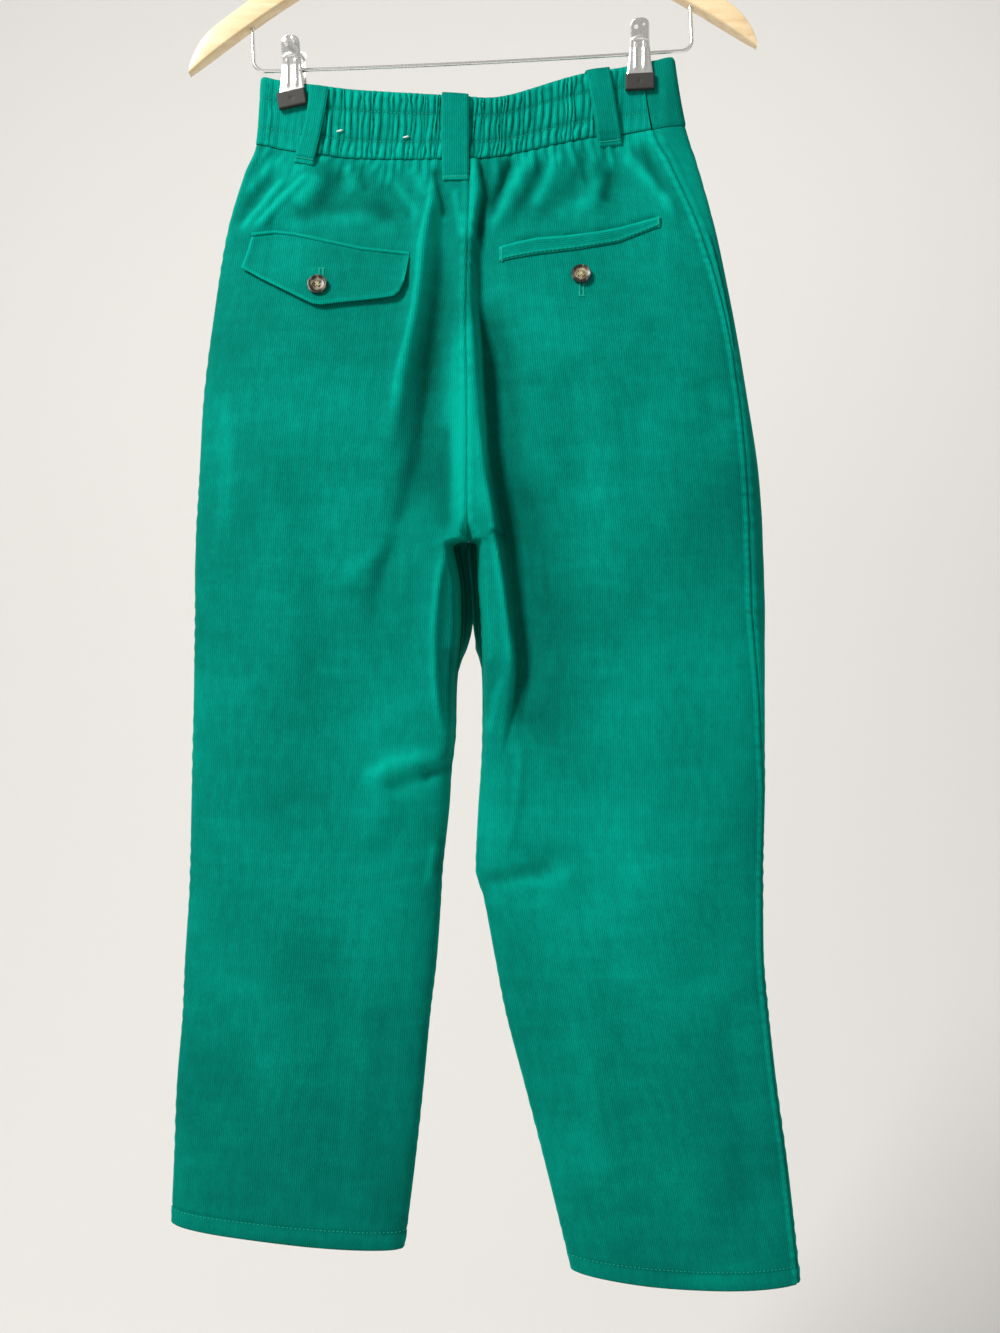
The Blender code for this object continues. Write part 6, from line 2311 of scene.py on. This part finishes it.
@dataclass
class SpringClip:
    """One spring clip: two pressed jaws with ears, their pads and the spring between."""

    finishes: Finishes
    hanger: Hanger
    label: str
    index: int
    roll: float
    top: float = 22.0
    pad_top: float = -18.0
    pad_end: float = -30.7
    pad_width: float = 22.5
    pad_thick: float = 4.0
    plate: float = 1.0
    pivot: float = 0.8
    ear_root: float = 7.1
    ear_reach: float = 2.6
    band_face: float = 1.4
    gathers: float = 0.3
    air: float = 0.15

    def clear(self) -> float:
        """Distance from the cloth's middle to the pad's face."""
        return FORM.pinch + self.band_face + self.gathers + self.air

    def place(self) -> Matrix:
        """Frame of the clip on the rod.

        Returns:
            The frame, in millimetres.
        """
        slope = math.radians(self.hanger.tilt)
        x = FORM.clip_x[self.index]
        level = (self.hanger.rod_level(x) + x * math.sin(slope)) / math.cos(slope) - self.pivot
        turn = Matrix.Rotation(-math.radians(FORM.clip_yaw[self.index]), 4, "Z")
        return Matrix.Translation(Vector((x, 0.0, level))) @ turn

    def build_jaw(self, node: str, side: int, ear_x: float) -> None:
        """Press a plate with stiffening ribs, two holes and two ears.

        Args:
            node: The solid that it stands for.
            side: Sign of y on its side of the cloth.
            ear_x: Distance of its ears from the middle.
        """
        grip = self.clear() + 0.5 * self.pad_thick - 0.4
        levels, outs, halves = zip(
            (self.top, 12.5, 3.2), (self.top - 0.5, 12.4, 4.6), (self.top - 1.6, 12.0, 6.0),
            (self.top - 3.0, 11.6, 6.9), (self.top - 5.0, 11.0, 7.4), (9.0, 8.6, 7.4), (2.0, 6.9, 7.8),
            (-6.0, 6.3, 8.4), (-12.0, 6.1, 9.2), (self.pad_top + 0.3, grip, 10.0))
        rows = np.concatenate([np.linspace(self.top, self.top - 5.0, 12),
                               np.linspace(self.top - 5.5, self.pad_top + 0.3, 60)])
        out, half = (np.interp(-rows, -np.array(levels), values)[:, None] for values in (outs, halves))
        across = np.linspace(-1.0, 1.0, 29)[None, :]
        x = across * half
        level = rows[:, None] + 0 * x
        ribs = sum(bump(centre, 1.0, x) for centre in (-3.4, 3.4))
        ribs *= ease(8.0, 4.0, level) * ease(-16.0, -12.0, level)
        swell = bump(9.0 - 0.05 * x**2, 1.1, level) * ease(6.8, 4.6, np.abs(x))
        edge = (1.0 - np.abs(across)) * half
        lift = 0.7 * ribs + 0.6 * swell - 0.35 * bump(0.0, 0.5, edge)
        level[-1:] += x[-1:] * math.tan(self.roll)
        faces = [np.stack([x, side * (out + shift + lift), level], axis=-1)
                 for shift in (-0.5 * self.plate, 0.5 * self.plate)]
        jaw = new_object(node + "_plate", facing_out(laid_mesh(faces)), self.finishes.steel, 40.0)
        bm = bmesh.new()
        reach = self.ear_root + self.ear_reach
        for x in (-ear_x, ear_x):
            add_box(bm, (x, side * (self.ear_root - 0.5 * reach), 0.0), (self.plate, reach, 6.4))
        cut(jaw, linked("ears", mesh_from(bm, "ears")), "UNION")
        slope = math.radians(self.hanger.tilt)
        yaw = math.radians(FORM.clip_yaw[self.index])
        way = Vector((math.cos(slope) * math.cos(yaw), math.cos(slope) * math.sin(yaw), math.sin(slope)))
        axis = Vector((0.0, 0.0, self.pivot))
        bore = self.hanger.rod_radius + self.hanger.play
        cut(jaw, rods([(axis - 12 * way, axis + 12 * way)], bore), "DIFFERENCE")
        for hole_x, hole_z, radius in ((-3.0, 16.2, 1.7), (3.0, 17.6, 1.0)):
            ends = tuple(Vector((hole_x, side * y, hole_z)) for y in (5.0, 18.0))
            cut(jaw, rods([ends], radius), "DIFFERENCE")
        self.finish(jaw, node, "chromed_steel", 40.0)

    def finish(self, obj: Object, node: str, slot: str, angle: float) -> None:
        """Move a piece to its place on the rod and settle it.

        Args:
            obj: The piece.
            node: The solid that it stands for.
            slot: Its material slot; not used.
            angle: Edges sharper than so many degrees stay sharp.
        """
        place = self.place()
        place.translation *= MM
        obj.data.transform(place)
        shade(obj.data, angle)
        settle(obj, node)

    def build_pad(self, node: str, side: int) -> None:
        """Mould a rubber pad with a dimple, rolled a little in the jaw's plane.

        Args:
            node: The solid that it stands for.
            side: Sign of y on its side of the cloth.
        """
        columns = np.linspace(-1.0, 1.0, 33)[None, :]
        rows = np.linspace(-1.0, 1.0, 21)[:, None]
        half_x = 0.5 * self.pad_width
        half_z = 0.5 * (self.pad_top - self.pad_end)
        x = half_x * np.sign(columns) * (1.0 - (1.0 - np.abs(columns)) ** 1.5) + 0 * rows
        z = half_z * np.sign(rows) * (1.0 - (1.0 - np.abs(rows)) ** 1.5) + 0 * columns
        edge = np.minimum(half_x - np.abs(x), half_z - np.abs(z))
        fall = 1.0 - np.sqrt(np.clip(1.0 - (1.0 - np.clip(edge / 1.2, 0.0, 1.0)) ** 2, 0.0, 1.0))
        near = self.clear() + 0.9 * fall
        far = self.clear() + self.pad_thick - 0.9 * fall - 0.5 * bump(0.0, 1.4, np.hypot(x, z))
        middle = 0.5 * (self.pad_top + self.pad_end)
        faces = [np.stack([x * math.cos(self.roll) + z * math.sin(-self.roll), side * out,
                           middle + z * math.cos(self.roll) + x * math.sin(self.roll)], axis=-1)
                 for out in (near, far)]
        pad = new_object(node + "_rubber", facing_out(laid_mesh(faces)), self.finishes.rubber, 60.0)
        self.finish(pad, node, "rubber", 60.0)

    def build_spring(self) -> None:
        """Coil spring round the rod, between the ears."""
        turns = 4
        steps = 24 * turns
        angle = np.linspace(0.0, 2 * math.pi * turns, steps + 1)[:, None]
        along = np.linspace(-3.0, 3.0, steps + 1)[:, None]
        around = np.linspace(0.0, 2 * math.pi, 8, endpoint=False)[None, :]
        spoke = 3.0 + 0.5 * np.cos(around)
        rings = np.stack([along + 0.5 * np.sin(around), spoke * np.cos(angle),
                          self.pivot + spoke * np.sin(angle)], axis=-1)
        node = f"clip_{self.label}_spring"
        self.finish(tube(node + "_wire", rings, self.finishes.steel, 60.0), node, "chromed_steel", 60.0)

    def build(self) -> None:
        """Build the whole clip."""
        for word, side, ear_x in (("back", -1, 6.4), ("front", 1, 5.0)):
            self.build_jaw(f"clip_{self.label}_jaw_{word}", side, ear_x)
            self.build_pad(f"clip_{self.label}_pad_{word}", side)
        self.build_spring()


# ------------------------------
# Stage


@dataclass
class Stage:
    """Pale floor that sweeps up behind, soft light from the left, and the camera."""

    floor: float = -1.75
    half_width: float = 6000.0
    reach: float = 5000.0
    bend_start: float = 1000.0
    bend: float = 1500.0
    lamp_colour: tuple[float, float, float] = (1.0, 0.985, 0.96)
    sky: str = "#f2efea"
    sky_strength: float = 0.40
    camera_at: tuple[float, float, float] = (0.031, -0.920, -0.680)
    view_degrees: float = 59.38

    def build(self) -> None:
        """Build the stage."""
        turn = np.linspace(0.0, 0.5 * math.pi, 25)
        curve = [(self.bend_start + self.bend * math.sin(t), self.bend * (1.0 - math.cos(t))) for t in turn]
        line = [(-self.reach, 0.0)] + curve + [(self.bend_start + self.bend, self.reach)]
        points = np.array([[(x, y, z + self.floor / MM) for x in (-self.half_width, self.half_width)]
                           for y, z in line])
        sweep = new_object("floor_sweep", laid_mesh([points]), Paper().make(), 60.0)

        camera = bpy.data.cameras.new("camera")
        camera.sensor_fit = "AUTO"
        camera.sensor_width = 36.0
        camera.lens = 18.0 / math.tan(math.radians(0.5 * self.view_degrees))
        seat = linked("camera", camera)
        seat.location = self.camera_at
        seat.rotation_euler = (0.5 * math.pi, 0.0, 0.0)
        bpy.context.scene.camera = seat

        for name, place, target, size, power in (
                ("window", (-1.75, -1.7, 1.3), (0.0, 0.0, -0.45), 0.8, 132.0),
                ("fill", (1.9, -2.2, -0.5), (0.0, 0.0, -0.7), 1.6, 3.5),
                ("wall_wash", (1.2, 0.7, 0.9), (1.1, 2.5, -0.8), 2.0, 9.0)):
            lamp = bpy.data.lights.new(name, "AREA")
            lamp.shape = "SQUARE"
            lamp.size = size
            lamp.energy = power
            lamp.color = self.lamp_colour
            obj = linked(name, lamp)
            obj.location = place
            obj.rotation_euler = (Vector(target) - Vector(place)).to_track_quat("-Z", "Y").to_euler()

        world = bpy.data.worlds.new("studio")
        world.use_nodes = True
        sky = world.node_tree.nodes["Background"]
        put(world.node_tree, sky, {"Color": linear(self.sky), "Strength": self.sky_strength})
        bpy.context.scene.world = world
        bpy.context.scene.view_settings.view_transform = "Standard"


def main() -> None:
    """Build the trousers, the hanger and the stage in order."""
    logging.basicConfig(level=logging.INFO, format="%(name)s: %(message)s")
    finishes = Finishes()
    sewing = Sewing(finishes)
    Waistband(finishes, sewing).build()
    LegPanels(finishes, sewing).build()
    BeltLoops(finishes, sewing).build()
    BackPockets(finishes, sewing).build()
    Closure(finishes, sewing).build()
    Buttons(finishes).build()
    hanger = Hanger(finishes)
    hanger.build()
    SpringClip(finishes, hanger, "left", 0, math.radians(10.0)).build()
    SpringClip(finishes, hanger, "right", 1, 0.0).build()
    Stage().build()


if __name__ == "__main__":
    main()
